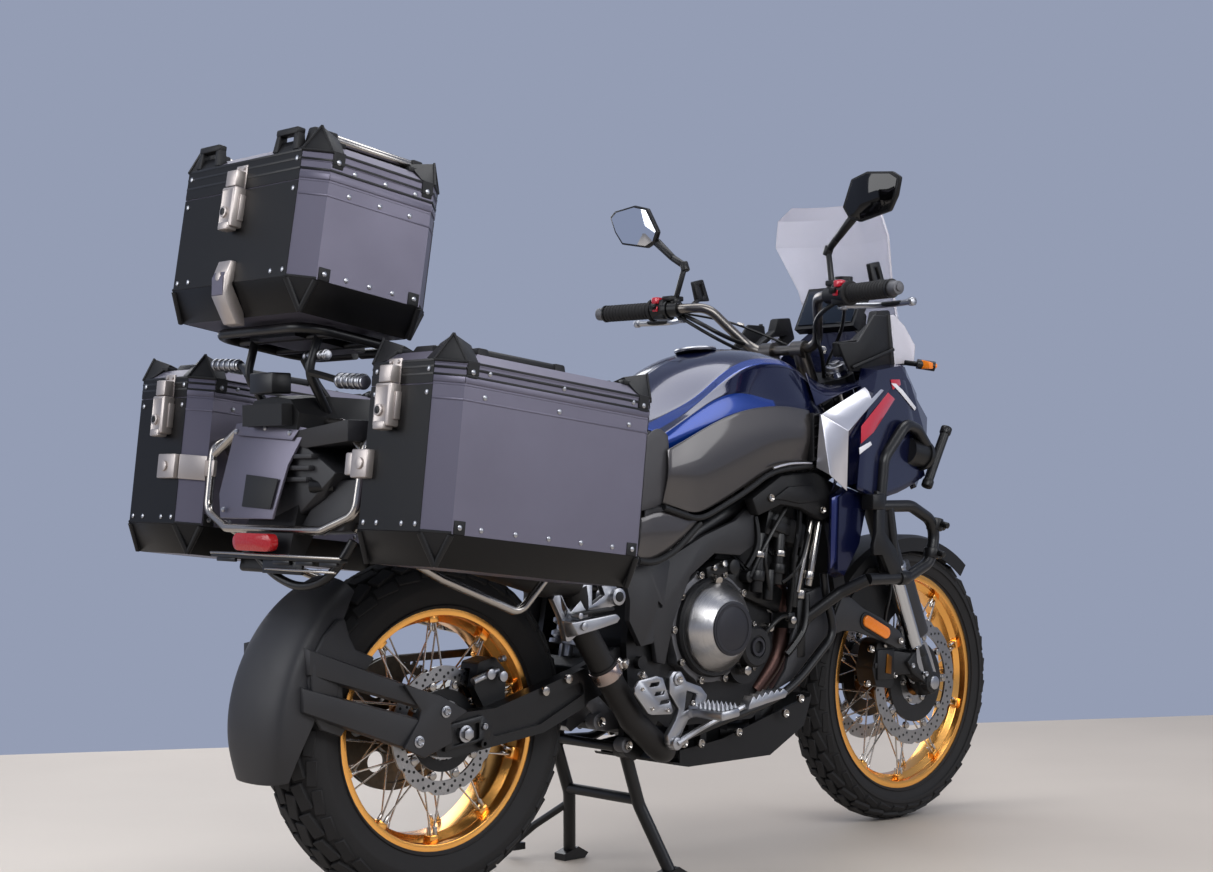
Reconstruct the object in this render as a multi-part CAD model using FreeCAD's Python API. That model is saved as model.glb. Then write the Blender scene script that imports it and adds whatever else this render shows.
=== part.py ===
import FreeCAD, Part
import os
from functools import cache
from math import cos, pi, radians, sin, tan

V = FreeCAD.Vector

# Adventure motorcycle on its centre stand, in millimetres.
# While it is laid out, X runs forward from the rear axle, Y to the machine's left and Z up from the floor.
# The finished solids are moved back by CENTRE_X, so that the origin lies under the middle of the machine.

# Wheels and axles
WHEELBASE = 1410
FRONT_TYRE_RADIUS = 329
FRONT_TYRE_WIDTH = 110
FRONT_RIM_RADIUS = 258
FRONT_RIM_WIDTH = 80
REAR_TYRE_RADIUS = 321
REAR_TYRE_WIDTH = 150
REAR_RIM_RADIUS = 232
REAR_RIM_WIDTH = 118
REAR_WHEEL_LIFT = 17
AXLE_RADIUS = 10
HUB_RADIUS = 34
SPOKE_LUGS = 10
SPOKE_RADIUS = 2
TYRE_SEAT_DEPTH = 14
RIM_WALL = 5

# Brakes and final drive
FRONT_DISC_RADIUS = 148
FRONT_DISC_Y = 70
REAR_DISC_RADIUS = 120
REAR_DISC_Y = 68.5
DISC_THICKNESS = 5
DISC_CLEARANCE = 5.5
SPROCKET_TEETH = 48
CHAIN_PITCH = 15.875
CHAIN_Y = 88
CHAIN_WIDTH = 16
CHAIN_PLATE = 3
CHAIN_HALF_DEPTH = 7
DRIVE_SPROCKET_X = 505
DRIVE_SPROCKET_Z = 425
DRIVE_SPROCKET_RADIUS = 38

# Steering
RAKE = 24
FORK_OFFSET = 35
FORK_HALF_SPREAD = 100
FORK_TUBE_RADIUS = 27
FORK_SLIDER_RADIUS = 21.5
FORK_TOP_Z = 1047
STEM_RADIUS = 17
HEAD_TUBE_RADIUS = 32
CLAMP_THICKNESS = 28
BAR_RADIUS = 11
BAR_HALF_WIDTH = 443
GRIP_RADIUS = 17

# Frame, swingarm and stands
FRAME_TUBE_RADIUS = 17
SUBFRAME_TUBE_RADIUS = 11
PIVOT_X = 440
PIVOT_Z = 440
PIVOT_RADIUS = 13
SWINGARM_OUTER_Y = 130
SWINGARM_WALL = 34
SHOCK_COILS = 7
STAND_PIVOT_X = 430
STAND_PIVOT_Z = 268
STAND_HALF_WIDTH = 104
STAND_FOOT_HALF_WIDTH = 150
STAND_FOOT_X = 520
STAND_TUBE_RADIUS = 13
SIDE_STAND_LENGTH = 235

# Cases
CASE_WALL = 3
CASE_CHAMFER = 36
CASE_FOOT_DROP = 33
CASE_FOOT_HEIGHT = 54
CASE_TOP_DROP = 26
CASE_TOP_HEIGHT = 20
PANNIER_LENGTH = 484
PANNIER_WIDTH = 235
PANNIER_HEIGHT = 350
PANNIER_LID_HEIGHT = 58
PANNIER_INNER_Y = 255
PANNIER_REAR_X = -360
PANNIER_REAR_Z = 668
PANNIER_PITCH = 6.5
TOPCASE_LENGTH = 290
TOPCASE_WIDTH = 430
TOPCASE_HEIGHT = 292
TOPCASE_LID_HEIGHT = 72
TOPCASE_REAR_X = -430
TOPCASE_REAR_Z = 1090
TOPCASE_PITCH = 9
RELEASE_DEPTH = 22
RACK_TUBE_RADIUS = 8

# Clearances
SEAT_GAP = 0.3
RUNNING_GAP = 0.4
LID_GAP = 0.5
HINGE_STANDOFF = 7

# Sizes that follow from the ones above
REAR_AXLE_Z = REAR_TYRE_RADIUS + REAR_WHEEL_LIFT
FRONT_AXLE_Z = FRONT_TYRE_RADIUS
RAKE_SIN = sin(radians(RAKE))
RAKE_COS = cos(radians(RAKE))
STEERING_AXIS = V(-RAKE_SIN, 0, RAKE_COS)
MACHINE_FRONT_X = WHEELBASE + FRONT_TYRE_RADIUS
CENTRE_X = (MACHINE_FRONT_X + TOPCASE_REAR_X - RELEASE_DEPTH) / 2
SPROCKET_PITCH_RADIUS = CHAIN_PITCH / (2 * sin(pi / SPROCKET_TEETH))


# Helpers

def box(x, y, z):
    """A block between two corners, given as (low, high) pairs."""
    return Part.makeBox(x[1] - x[0], y[1] - y[0], z[1] - z[0], V(x[0], y[0], z[0]))


def rod(start, end, radius):
    """A round bar between two points."""
    start, end = V(*start), V(*end)
    return Part.makeCylinder(radius, (end - start).Length, start, end - start)


def cross_rod(x, z, radius, y):
    """A round bar across the machine between two (low, high) values of y."""
    return Part.makeCylinder(radius, y[1] - y[0], V(x, y[0], z), V(0, 1, 0))


def spoke(start, end, radius):
    """A six-sided bar between two points, which stands for a thin wire."""
    start, end = V(*start), V(*end)
    along = (end - start).normalize()
    across = along.cross(V(0, 1, 0)).normalize()
    upright = along.cross(across)
    corners = []
    for step in range(6):
        turn = step * pi / 3
        corners.append(start + across * (radius * cos(turn)) + upright * (radius * sin(turn)))
    return Part.Face(Part.makePolygon(corners + corners[:1])).extrude(end - start)


def polygon(points):
    """A closed wire through points in space."""
    corners = [V(*point) for point in points]
    return Part.makePolygon(corners + corners[:1])


def corner_arc(before, corner, after, bend):
    """Start, middle and end of the arc that rounds a corner, no longer than its two runs allow."""
    back = (before - corner).normalize()
    ahead = (after - corner).normalize()
    half_turn = (pi - back.getAngle(ahead)) / 2
    shorter = min((before - corner).Length, (after - corner).Length)
    bend = min(bend, 0.45 * shorter / tan(half_turn))
    reach = bend * tan(half_turn)
    middle = corner + (back + ahead).normalize() * (bend / cos(half_turn) - bend)
    return corner + back * reach, middle, corner + ahead * reach


def bent_path(points, bend):
    """Straight runs joined by tangent arcs."""
    points = [V(*point) for point in points]
    edges = []
    start = points[0]
    for before, corner, after in zip(points, points[1:], points[2:]):
        first, middle, last = corner_arc(before, corner, after, bend)
        edges.append(Part.LineSegment(start, first).toShape())
        edges.append(Part.Arc(first, middle, last).toShape())
        start = last
    edges.append(Part.LineSegment(start, points[-1]).toShape())
    return Part.Wire(edges)


def bent_tube(points, radius, bend):
    """A round tube, solid inside, bent along a route of points."""
    path = bent_path(points, bend)
    profile = Part.Wire(Part.makeCircle(radius, V(*points[0]), V(*points[1]) - V(*points[0])))
    return path.makePipeShell([profile], True, True)


def rounded_face(points, bend):
    """A flat face whose outline has all its corners rounded."""
    points = [V(*point) for point in points]
    arcs = []
    for place, corner in enumerate(points):
        after = points[(place + 1) % len(points)]
        arcs.append(corner_arc(points[place - 1], corner, after, bend))
    edges = []
    for place, (first, middle, last) in enumerate(arcs):
        edges.append(Part.Arc(first, middle, last).toShape())
        following = arcs[(place + 1) % len(arcs)][0]
        edges.append(Part.LineSegment(last, following).toShape())
    return Part.Face(Part.Wire(edges))


def plate(outline, y, bend=0):
    """A flat plate upright along the machine: its outline has (x, z) points."""
    points = [(x, y[0], z) for x, z in outline]
    face = rounded_face(points, bend) if bend else Part.Face(polygon(points))
    return face.extrude(V(0, y[1] - y[0], 0))


def turned(profile, x, z):
    """A profile of (y, r) points spun about an axle across the machine."""
    face = Part.Face(polygon([(x, y, z + r) for y, r in profile]))
    return face.revolve(V(x, 0, z), V(0, 1, 0), 360)


def turned_sector(profile, x, z, start, end):
    """Part of a turned ring, between two angles from forward towards up, in degrees."""
    face = Part.Face(polygon([(x + r, y, z) for y, r in profile]))
    face.rotate(V(x, 0, z), V(0, 1, 0), -start)
    return face.revolve(V(x, 0, z), V(0, 1, 0), start - end)


def hull(stations):
    """A body lofted through cross-sections.

    Each station is (x, half outline); the half outline runs down from the top on the left side as (y, z).
    """
    wires = []
    for x, half in stations:
        left = [(x, y, z) for y, z in half]
        right = [(x, -y, z) for y, z in reversed(half) if y > 0]
        wires.append(polygon(left + right))
    return Part.makeLoft(wires, True, True)


def panel(outline, face_y, lean, thickness, shrink):
    """A left side panel: (x, z) outline, outer face at face_y on average and leaning by lean per mm.

    lean is (along x, along z); the outer face is the outline drawn in by the share named shrink.
    """
    mid_x = sum(x for x, z in outline) / len(outline)
    mid_z = sum(z for x, z in outline) / len(outline)

    def wire(scale, inward):
        points = []
        for x, z in outline:
            along, up = (x - mid_x) * scale, (z - mid_z) * scale
            y = face_y - inward + lean[0] * along + lean[1] * up
            points.append((mid_x + along, y, mid_z + up))
        return polygon(points)

    return Part.makeLoft([wire(1, thickness), wire(1 - shrink, 0)], True, True)


def spun(profile, start, end):
    """A profile of (distance, radius) points spun about the line from start towards end."""
    solid = Part.Face(polygon([(r, 0, along) for along, r in profile])).revolve(V(0, 0, 0), V(0, 0, 1), 360)
    turn = FreeCAD.Rotation(V(0, 0, 1), V(*end) - V(*start))
    solid.Placement = FreeCAD.Placement(V(*start), turn)
    return solid


def mirrored(shape):
    """The same shape on the other side of the machine."""
    return shape.mirror(V(0, 0, 0), V(0, 1, 0))


def both(shape):
    """A shape and its mirror image."""
    return [shape, mirrored(shape)]


def joined(shapes):
    """Overlapping or touching shapes made one."""
    return shapes[0].fuse(shapes[1:])


def without(shape, tools):
    """A shape less its neighbours, without crumbs."""
    rest = shape.cut(tools)
    largest = max(solid.Volume for solid in rest.Solids)
    return Part.makeCompound([solid for solid in rest.Solids if solid.Volume > 0.02 * largest])


def placed(shape, pitch, at):
    """A shape tipped nose-down by pitch degrees about its own origin and moved to a point."""
    shape = shape.copy()
    shape.rotate(V(0, 0, 0), V(0, 1, 0), pitch)
    shape.translate(V(*at))
    return shape


def fork_point(along, y, ahead=0):
    """A point at a distance up the fork from the front axle, and ahead of its line at right angles."""
    x = WHEELBASE - along * RAKE_SIN + ahead * RAKE_COS
    z = FRONT_AXLE_Z + along * RAKE_COS + ahead * RAKE_SIN
    return (x, y, z)


def stem_point(along):
    """A point on the steering axis, level along the fork with the distance given."""
    return fork_point(along, 0, -FORK_OFFSET)


FORK_LENGTH = (FORK_TOP_Z - FRONT_AXLE_Z) / RAKE_COS


# Wheels

def tyre(x, z, radius, width, rim_radius, rim_width):
    """A tyre as a closed ring from its bead seats to its crown."""
    half, bead = width / 2, rim_width / 2 - RIM_WALL - SEAT_GAP
    seat = rim_radius - TYRE_SEAT_DEPTH + SEAT_GAP
    depth = radius - rim_radius
    half_profile = [
        # y, r
        (bead, seat),
        (bead, rim_radius + 2),
        (half * 0.95, rim_radius + depth * 0.28),
        (half, rim_radius + depth * 0.52),
        (half * 0.93, rim_radius + depth * 0.74),
        (half * 0.68, rim_radius + depth * 0.91),
        (half * 0.36, rim_radius + depth * 0.985),
    ]
    other = [(-y, r) for y, r in reversed(half_profile)]
    return turned(half_profile + [(0, radius)] + other, x, z)


def rim(x, z, rim_radius, rim_width, lug_y):
    """A drop-centre rim with a row of spoke lugs inside each edge."""
    half = rim_width / 2
    seat = rim_radius - TYRE_SEAT_DEPTH
    well = seat - 14
    outer = [(half, rim_radius), (half - RIM_WALL, rim_radius), (half - RIM_WALL, seat), (half * 0.55, seat),
             (half * 0.4, well)]
    inner = [(half * 0.4, well - RIM_WALL), (half * 0.6, seat - RIM_WALL), (half, seat - RIM_WALL)]
    profile = outer + [(-y, r) for y, r in reversed(outer)]
    profile += [(-y, r) for y, r in reversed(inner)] + inner
    solids = [turned(profile, x, z)]
    for side in (1, -1):
        for lug in range(SPOKE_LUGS):
            block = box((seat - 20, seat - RIM_WALL + 1), (-11, 11), (-9, 9))
            block.rotate(V(0, 0, 0), V(0, 1, 0), lug_turn(lug, side))
            block.translate(V(x, side * lug_y, z))
            solids.append(block)
    return joined(solids)


def lug_turn(lug, side):
    """Turn of one spoke lug about the axle; the two sides are staggered."""
    stagger = 180 / SPOKE_LUGS if side < 0 else 0
    return lug * 360 / SPOKE_LUGS + stagger


def spoked_hub(x, z, rim_radius, lug_y, flange_y, boss_y):
    """A hub barrel with two flanges and two spokes to each lug of the rim."""
    seat = rim_radius - TYRE_SEAT_DEPTH
    bore = AXLE_RADIUS + RUNNING_GAP
    half = [
        # y, r
        (boss_y, HUB_RADIUS), (flange_y + 5, HUB_RADIUS), (flange_y + 5, HUB_RADIUS + 20),
        (flange_y - 4, HUB_RADIUS + 20), (flange_y - 10, HUB_RADIUS - 6),
    ]
    profile = [(boss_y, bore)] + half + [(-y, r) for y, r in reversed(half)] + [(-boss_y, bore)]
    solids = [turned(profile, x, z)]
    flange_radius = HUB_RADIUS + 12
    for side in (1, -1):
        for lug in range(SPOKE_LUGS):
            for lean in (1, -1):
                rim_turn = radians(lug_turn(lug, side) + lean * 1.6)
                hub_turn = rim_turn + lean * radians(46)
                rim_at = seat - 20 - SEAT_GAP
                start = (x + flange_radius * cos(hub_turn), side * (flange_y + lean * 2),
                         z - flange_radius * sin(hub_turn))
                end = (x + rim_at * cos(rim_turn), side * (lug_y + lean * 3), z - rim_at * sin(rim_turn))
                solids.append(spoke(start, end, SPOKE_RADIUS))
    return joined(solids)


def brake_disc(x, z, radius, y, waves, bolt_radius):
    """A wave-edged rotor on a spider that bolts to the hub."""
    low, high = y - DISC_THICKNESS / 2, y + DISC_THICKNESS / 2
    ring = turned([(low, radius * 0.78), (low, radius), (high, radius), (high, radius * 0.78)], x, z)
    notches = []
    for wave in range(waves):
        turn = 2 * pi * wave / waves
        reach = radius + 16
        notches.append(cross_rod(x + reach * cos(turn), z + reach * sin(turn), 20, (low - 1, high + 1)))
    ring = ring.cut(notches)
    hub = turned([(low, bolt_radius - 12), (low, bolt_radius + 8), (high, bolt_radius + 8),
                  (high, bolt_radius - 12)], x, z)
    arms = []
    for arm in range(5):
        bar = box((bolt_radius, radius * 0.8), (low, high), (-9, 9))
        bar.rotate(V(0, 0, 0), V(0, 1, 0), arm * 72)
        bar.translate(V(x, 0, z))
        arms.append(bar)
    return joined([ring, hub] + arms)


def rear_sprocket():
    """The driven sprocket on the left of the rear hub."""
    low, high = CHAIN_Y - 3.5, CHAIN_Y + 3.5
    root = SPROCKET_PITCH_RADIUS - 5
    tip = SPROCKET_PITCH_RADIUS + 4.5
    first_gap = chain_tangents()[0]
    points = []
    for tooth in range(SPROCKET_TEETH):
        for share, radius in ((-0.28, root), (-0.1, tip), (0.1, tip), (0.28, root)):
            turn = first_gap + 2 * pi * (tooth + 0.5 + share) / SPROCKET_TEETH
            points.append((radius * cos(turn), REAR_AXLE_Z + radius * sin(turn)))
    blank = plate(points, (low, high))
    holes = [cross_rod(0, REAR_AXLE_Z, HUB_RADIUS + 14, (low - 1, high + 1))]
    for window in range(6):
        turn = pi * window / 3
        holes.append(cross_rod(82 * cos(turn), REAR_AXLE_Z + 82 * sin(turn), 20, (low - 1, high + 1)))
    carrier = turned([(REAR_HUB_BOSS_Y, AXLE_RADIUS + RUNNING_GAP), (REAR_HUB_BOSS_Y, 60), (high, 60),
                      (high, AXLE_RADIUS + RUNNING_GAP)], 0, REAR_AXLE_Z)
    return joined([blank.cut(holes), carrier])


# Hub sizes: each flange, boss and lug row sits inside its rim and between its discs
FRONT_FLANGE_Y = 32
FRONT_LUG_Y = 22
FRONT_HUB_BOSS_Y = FRONT_DISC_Y - DISC_THICKNESS / 2
REAR_FLANGE_Y = 38
REAR_LUG_Y = 34
REAR_HUB_BOSS_Y = REAR_DISC_Y - DISC_THICKNESS / 2


def front_discs():
    return both(brake_disc(WHEELBASE, FRONT_AXLE_Z, FRONT_DISC_RADIUS, FRONT_DISC_Y, 12, 46))


def rear_disc():
    return [brake_disc(0, REAR_AXLE_Z, REAR_DISC_RADIUS, -REAR_DISC_Y, 10, 46)]


def chain_tangents():
    """Where the chain's two runs leave the rear sprocket, as angles from forward towards up."""
    rise = DRIVE_SPROCKET_Z - REAR_AXLE_Z
    tilt = V(1, 0, 0).getAngle(V(DRIVE_SPROCKET_X, 0, rise))
    span = V(DRIVE_SPROCKET_X, 0, rise).Length
    half_angle = pi / 2 - (SPROCKET_PITCH_RADIUS - DRIVE_SPROCKET_RADIUS) / span
    return tilt + half_angle, tilt - half_angle


def chain_loop(offset):
    """The closed outline at a distance outside the pitch line, from the rear sprocket's upper tangent."""
    upper, lower = chain_tangents()
    ends = []
    edges = []
    for centre_x, centre_z, radius, start, end in (
            (0, REAR_AXLE_Z, SPROCKET_PITCH_RADIUS + offset, upper, lower + 2 * pi),
            (DRIVE_SPROCKET_X, DRIVE_SPROCKET_Z, DRIVE_SPROCKET_RADIUS + offset, lower, upper)):
        arc = [V(centre_x + radius * cos(turn), 0, centre_z + radius * sin(turn))
               for turn in (start, (start + end) / 2, end)]
        edges.append(Part.Arc(*arc).toShape())
        ends += [arc[0], arc[2]]
    lower_run = Part.LineSegment(ends[1], ends[2]).toShape()
    upper_run = Part.LineSegment(ends[3], ends[0]).toShape()
    return [edges[0], lower_run, edges[1], upper_run]


def drive_chain():
    """Two side strips round both sprockets, tied by a pin at every link."""
    outside = Part.Face(Part.Wire(chain_loop(CHAIN_HALF_DEPTH)))
    inside = Part.Face(Part.Wire(chain_loop(-CHAIN_HALF_DEPTH)))
    low, high = CHAIN_Y - CHAIN_WIDTH / 2, CHAIN_Y + CHAIN_WIDTH / 2
    pieces = []
    for y in (low, high - CHAIN_PLATE):
        strip = outside.extrude(V(0, CHAIN_PLATE, 0)).cut(inside.extrude(V(0, CHAIN_PLATE, 0)))
        strip.translate(V(0, y, 0))
        pieces.append(strip)
    link = 2 * pi * SPROCKET_PITCH_RADIUS / SPROCKET_TEETH
    travelled = 0
    for edge in chain_loop(0):
        while travelled < edge.Length:
            share = edge.getParameterByLength(travelled)
            at = edge.valueAt(share)
            pieces.append(box((at.x - 2.2, at.x + 2.2), (low + 1, high - 1), (at.z - 2.2, at.z + 2.2)))
            travelled += link
        travelled -= edge.Length
    return [pieces[0].fuse(pieces[1:])]


# Steering parts

def fork_legs():
    """Two upside-down fork legs with their feet, and the front axle across them."""
    legs = []
    for side in (1, -1):
        y = side * FORK_HALF_SPREAD
        slider = rod(fork_point(60, y), fork_point(300, y), FORK_SLIDER_RADIUS)
        collar = rod(fork_point(265, y), fork_point(300, y), FORK_TUBE_RADIUS + 1)
        upper = rod(fork_point(300, y), fork_point(FORK_LENGTH, y), FORK_TUBE_RADIUS)
        foot_outline = []
        for along, ahead in ((-24, -16), (-24, 16), (10, 24), (60, 24), (100, 20), (100, -20), (70, -30), (10, -26)):
            x, _, z = fork_point(along, 0, ahead)
            foot_outline.append((x, z))
        foot = plate(foot_outline, (y - 21, y + 21), 10)
        cap = rod(fork_point(FORK_LENGTH, y), fork_point(FORK_LENGTH + 8, y), 18)
        legs += [slider, collar, upper, foot, cap]
    reach = FORK_HALF_SPREAD + 22
    axle = cross_rod(WHEELBASE, FRONT_AXLE_Z, AXLE_RADIUS, (-reach, reach))
    return [joined(legs + [axle])]


def clamp(along, thickness, front, rear):
    """A clamp plate across both legs, split round each of them."""
    half = FORK_HALF_SPREAD + FORK_TUBE_RADIUS + 9
    outline = [
        # y, ahead of the fork line
        (-half, -20), (-half, 20), (-70, front), (70, front), (half, 20), (half, -20), (45, rear), (-45, rear),
    ]
    points = [fork_point(along, y, ahead) for y, ahead in outline]
    block = rounded_face(points, 14).extrude(STEERING_AXIS * thickness)
    return block


def triple_clamps():
    """Upper and lower clamps on the steering stem."""
    low, high = STEM_LOW, STEM_HIGH
    plates = [clamp(low - CLAMP_THICKNESS - 6, CLAMP_THICKNESS + 6, 22, -68), clamp(high, CLAMP_THICKNESS, 24, -62)]
    stem = rod(stem_point(low - CLAMP_THICKNESS - 16), stem_point(high + 10), STEM_RADIUS)
    holes = []
    for side in (1, -1):
        y = side * FORK_HALF_SPREAD
        holes.append(rod(fork_point(low - 90, y), fork_point(FORK_LENGTH + 40, y), FORK_TUBE_RADIUS + SEAT_GAP))
    return [joined(plates + [stem]).cut(holes)]


STEM_LOW = 585
STEM_HIGH = 745


def front_fender():
    """The mudguard over the front tyre with a blade to each fork leg."""
    inner = FRONT_TYRE_RADIUS + 12
    half = FRONT_TYRE_WIDTH / 2 + 7
    wall = 3
    profile = [
        # y, r
        (-half, inner - 36), (-half, inner - 6), (-half + 16, inner), (half - 16, inner), (half, inner - 6),
        (half, inner - 36), (half + wall, inner - 36), (half + wall, inner - 4), (half - 14, inner + wall),
        (-half + 14, inner + wall), (-half - wall, inner - 4), (-half - wall, inner - 36),
    ]
    guard = turned_sector(profile, WHEELBASE, FRONT_AXLE_Z, 52, 163)
    blades = []
    outline = [(1392, 600), (1240, 600), (1165, 520), (1180, 480), (1262, 456), (1300, 464), (1352, 502)]
    for y in ((half + wall, half + wall + 6), (-half - wall - 6, -half - wall)):
        blades.append(plate(outline, y, 12))
    for y in ((half + wall + 1, FORK_HALF_SPREAD - 10), (10 - FORK_HALF_SPREAD, -half - wall - 1)):
        blades.append(cross_rod(1320, 531, 11, y))
    return [without(joined([guard] + blades), fork_legs())]


def front_calipers():
    """A four-piston caliper behind each fork leg, straddling its disc."""
    slot = DISC_THICKNESS / 2 + DISC_CLEARANCE
    outline = [(1236, 330), (1222, 372), (1240, 428), (1262, 440), (1310, 424), (1306, 345), (1290, 322)]
    body = plate(outline, (FRONT_DISC_Y - slot - 16, FRONT_DISC_Y + slot + 18), 12)
    gap = turned([(FRONT_DISC_Y - slot, HUB_RADIUS + 8), (FRONT_DISC_Y - slot, FRONT_DISC_RADIUS + DISC_CLEARANCE),
                  (FRONT_DISC_Y + slot, FRONT_DISC_RADIUS + DISC_CLEARANCE), (FRONT_DISC_Y + slot, HUB_RADIUS + 8)],
                 WHEELBASE, FRONT_AXLE_Z)
    bracket = plate([(1290, 350), (1290, 412), (1345, 425), (1372, 400), (1372, 352)],
                    (FRONT_DISC_Y + slot, FORK_HALF_SPREAD - 5), 8)
    leg = rod(fork_point(-40, FORK_HALF_SPREAD), fork_point(320, FORK_HALF_SPREAD), FORK_SLIDER_RADIUS + SEAT_GAP)
    foot = box((1300, 1460), (FORK_HALF_SPREAD - 21 - SEAT_GAP, 140), (290, 440))
    piece = joined([body, bracket]).cut([gap, leg, foot])
    return both(max(piece.Solids, key=lambda solid: solid.Volume))


# Handlebar route on the left, from the middle of the clamp to the bar end
BAR_ROUTE = [
    # x, y, z
    (1030, 0, 1092),
    (1032, 95, 1096),
    (988, 134, 1150),
    (952, 162, 1194),
    (922, 204, 1194),
    (877, BAR_HALF_WIDTH - 12, 1192),
]
GRIP_START = 290
RISER_HALF_GAP = 46


def handlebar():
    """The tapered handlebar on two risers that stand on the upper clamp."""
    route = [(x, -y, z) for x, y, z in reversed(BAR_ROUTE)] + BAR_ROUTE[1:]
    tube = bent_tube(route, BAR_RADIUS, 60)
    pieces = [tube]
    top = fork_point(STEM_HIGH + CLAMP_THICKNESS, 0, -FORK_OFFSET)
    for side in (1, -1):
        y = side * RISER_HALF_GAP
        riser = rod((top[0], y, top[2]), (1030, y, 1090), 19)
        cap = cross_rod(1030, 1092, 20, (y - 17, y + 17))
        pieces += [riser, cap]
    pivot = V(*top)
    under = Part.makeBox(300, 400, 100, V(-150, -200, -100 + SEAT_GAP))
    under.rotate(V(0, 0, 0), V(0, 1, 0), -RAKE)
    under.translate(pivot)
    return [joined(pieces).cut(under)]


def bar_direction():
    """Unit vector outwards along the left grip."""
    return (V(*BAR_ROUTE[-1]) - V(*BAR_ROUTE[-2])).normalize()


def on_bar(y, dx=0, dz=0):
    """A point beside the left grip's centre line at a given y."""
    first, last = V(*BAR_ROUTE[-2]), V(*BAR_ROUTE[-1])
    share = (y - first.y) / (last.y - first.y)
    point = first + (last - first) * share
    return (point.x + dx, point.y, point.z + dz)


def hand_controls():
    """Grips, bar ends, switch blocks, levers and the brake fluid cup."""
    bar = rod(on_bar(200), on_bar(BAR_HALF_WIDTH + 20), BAR_RADIUS + SEAT_GAP)
    grip = rod(on_bar(GRIP_START), on_bar(BAR_HALF_WIDTH - 22), GRIP_RADIUS)
    ends = [rod(on_bar(BAR_HALF_WIDTH - 22), on_bar(BAR_HALF_WIDTH - 18), GRIP_RADIUS + 3),
            rod(on_bar(BAR_HALF_WIDTH - 18), on_bar(BAR_HALF_WIDTH), GRIP_RADIUS - 3)]
    switch = rod(on_bar(248), on_bar(GRIP_START), GRIP_RADIUS + 5)
    perch = rod(on_bar(222), on_bar(246), GRIP_RADIUS + 1)
    arm = rod(on_bar(234), (946, 240, 1172), 8)
    lever = bent_tube([(946, 240, 1172), (985, 300, 1172), (975, 350, 1172), (968, 408, 1172)], 5.5, 30)
    tip = rod((968, 404, 1172), (968, 412, 1172), 8)
    shared = [grip] + ends + [switch, perch, arm, lever, tip]
    left = joined(shared).cut(bar)
    cup = rod(on_bar(226, 46, 8), on_bar(226, 46, 42), 20)
    cup_foot = rod(on_bar(232), on_bar(228, 40, 16), 9)
    right = mirrored(joined(shared + [cup, cup_foot]).cut(bar))
    return [left, right]


def mirrors():
    """Two mirrors on bent stems that stand on the lever perches."""
    base = on_bar(234, 0, GRIP_RADIUS + 1)
    stem = bent_tube([(base[0], 234, base[2] + 2), (928, 210, 1298), (915, 300, 1372)], 5.5, 16)
    outline = [
        # y, z of the head's front shell
        (280, 1372), (292, 1425), (330, 1440), (402, 1436), (430, 1420), (424, 1378), (396, 1346), (320, 1338),
    ]
    wires = []
    for scale, x in ((1, 896), (1, 908), (0.72, 926)):
        ring = []
        for y, z in outline:
            ring.append((x - (z - 1390) * 0.12, 352 + (y - 352) * scale, 1390 + (z - 1390) * scale))
        wires.append(polygon(ring))
    head = Part.makeLoft(wires, True, True)
    return both(joined([stem, head]))


# Frame and running gear

@cache
def main_frame():
    """Head tube, twin beams, pivot plates and cross tubes."""
    head = rod(stem_point(STEM_LOW + LID_GAP), stem_point(STEM_HIGH - LID_GAP), HEAD_TUBE_RADIUS)
    bore = rod(stem_point(STEM_LOW - 20), stem_point(STEM_HIGH + 20), STEM_RADIUS + RUNNING_GAP)
    middle = stem_point((STEM_LOW + STEM_HIGH) / 2 + 20)
    lower = stem_point(STEM_LOW + 40)
    pieces = [head]
    for side in (1, -1):
        beam = bent_tube([(middle[0] - 10, side * 12, middle[2]), (985, side * 82, 905), (860, side * 118, 800),
                          (600, side * 124, 690), (470, side * 124, 560)], FRAME_TUBE_RADIUS, 90)
        down = bent_tube([(lower[0] - 10, side * 12, lower[2]), (985, side * 82, 790), (940, side * 128, 640),
                          (905, side * 128, 470)], FRAME_TUBE_RADIUS - 3, 70)
        outline = [(430, 600), (500, 600), (516, 520), (500, 420), (502, 330), (462, 262), (430, 244), (398, 262),
                   (404, 330), (412, 400), (408, 480)]
        y = (118, 134) if side > 0 else (-134, -118)
        pivot_plate = plate(outline, y, 14)
        pieces += [beam, down, pivot_plate]
    pieces.append(cross_rod(455, 585, FRAME_TUBE_RADIUS - 3, (-124, 124)))
    pieces.append(cross_rod(STAND_PIVOT_X, STAND_PIVOT_Z + 40, 12, (-124, 124)))
    pieces.append(cross_rod(PIVOT_X, PIVOT_Z, PIVOT_RADIUS, (-148, 148)))
    return [joined(pieces).cut(bore)]


@cache
def rear_subframe():
    """Tubes that carry the seat, the tail and the racks."""
    pieces = []
    for side in (1, -1):
        upper = bent_tube([(485, side * 118, 640), (470, side * 118, 745), (380, side * 110, 790),
                           (120, side * 100, 820), (-285, side * 80, 905)], SUBFRAME_TUBE_RADIUS, 60)
        lower = bent_tube([(420, side * 128, 590), (300, side * 132, 640), (-60, side * 96, 852)],
                          SUBFRAME_TUBE_RADIUS - 1, 80)
        pieces += [upper, lower]
    for x, z, half in ((300, 798, 106), (-40, 853, 94), (-280, 904, 80)):
        pieces.append(cross_rod(x, z, SUBFRAME_TUBE_RADIUS - 2, (-half, half)))
    pieces.append(cross_rod(474, 704, SUBFRAME_TUBE_RADIUS, (-116, 116)))
    pieces.append(plate([(400, 692), (478, 692), (478, 716), (400, 722)], (-17, 17), 5))
    return [joined(pieces)]


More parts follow.
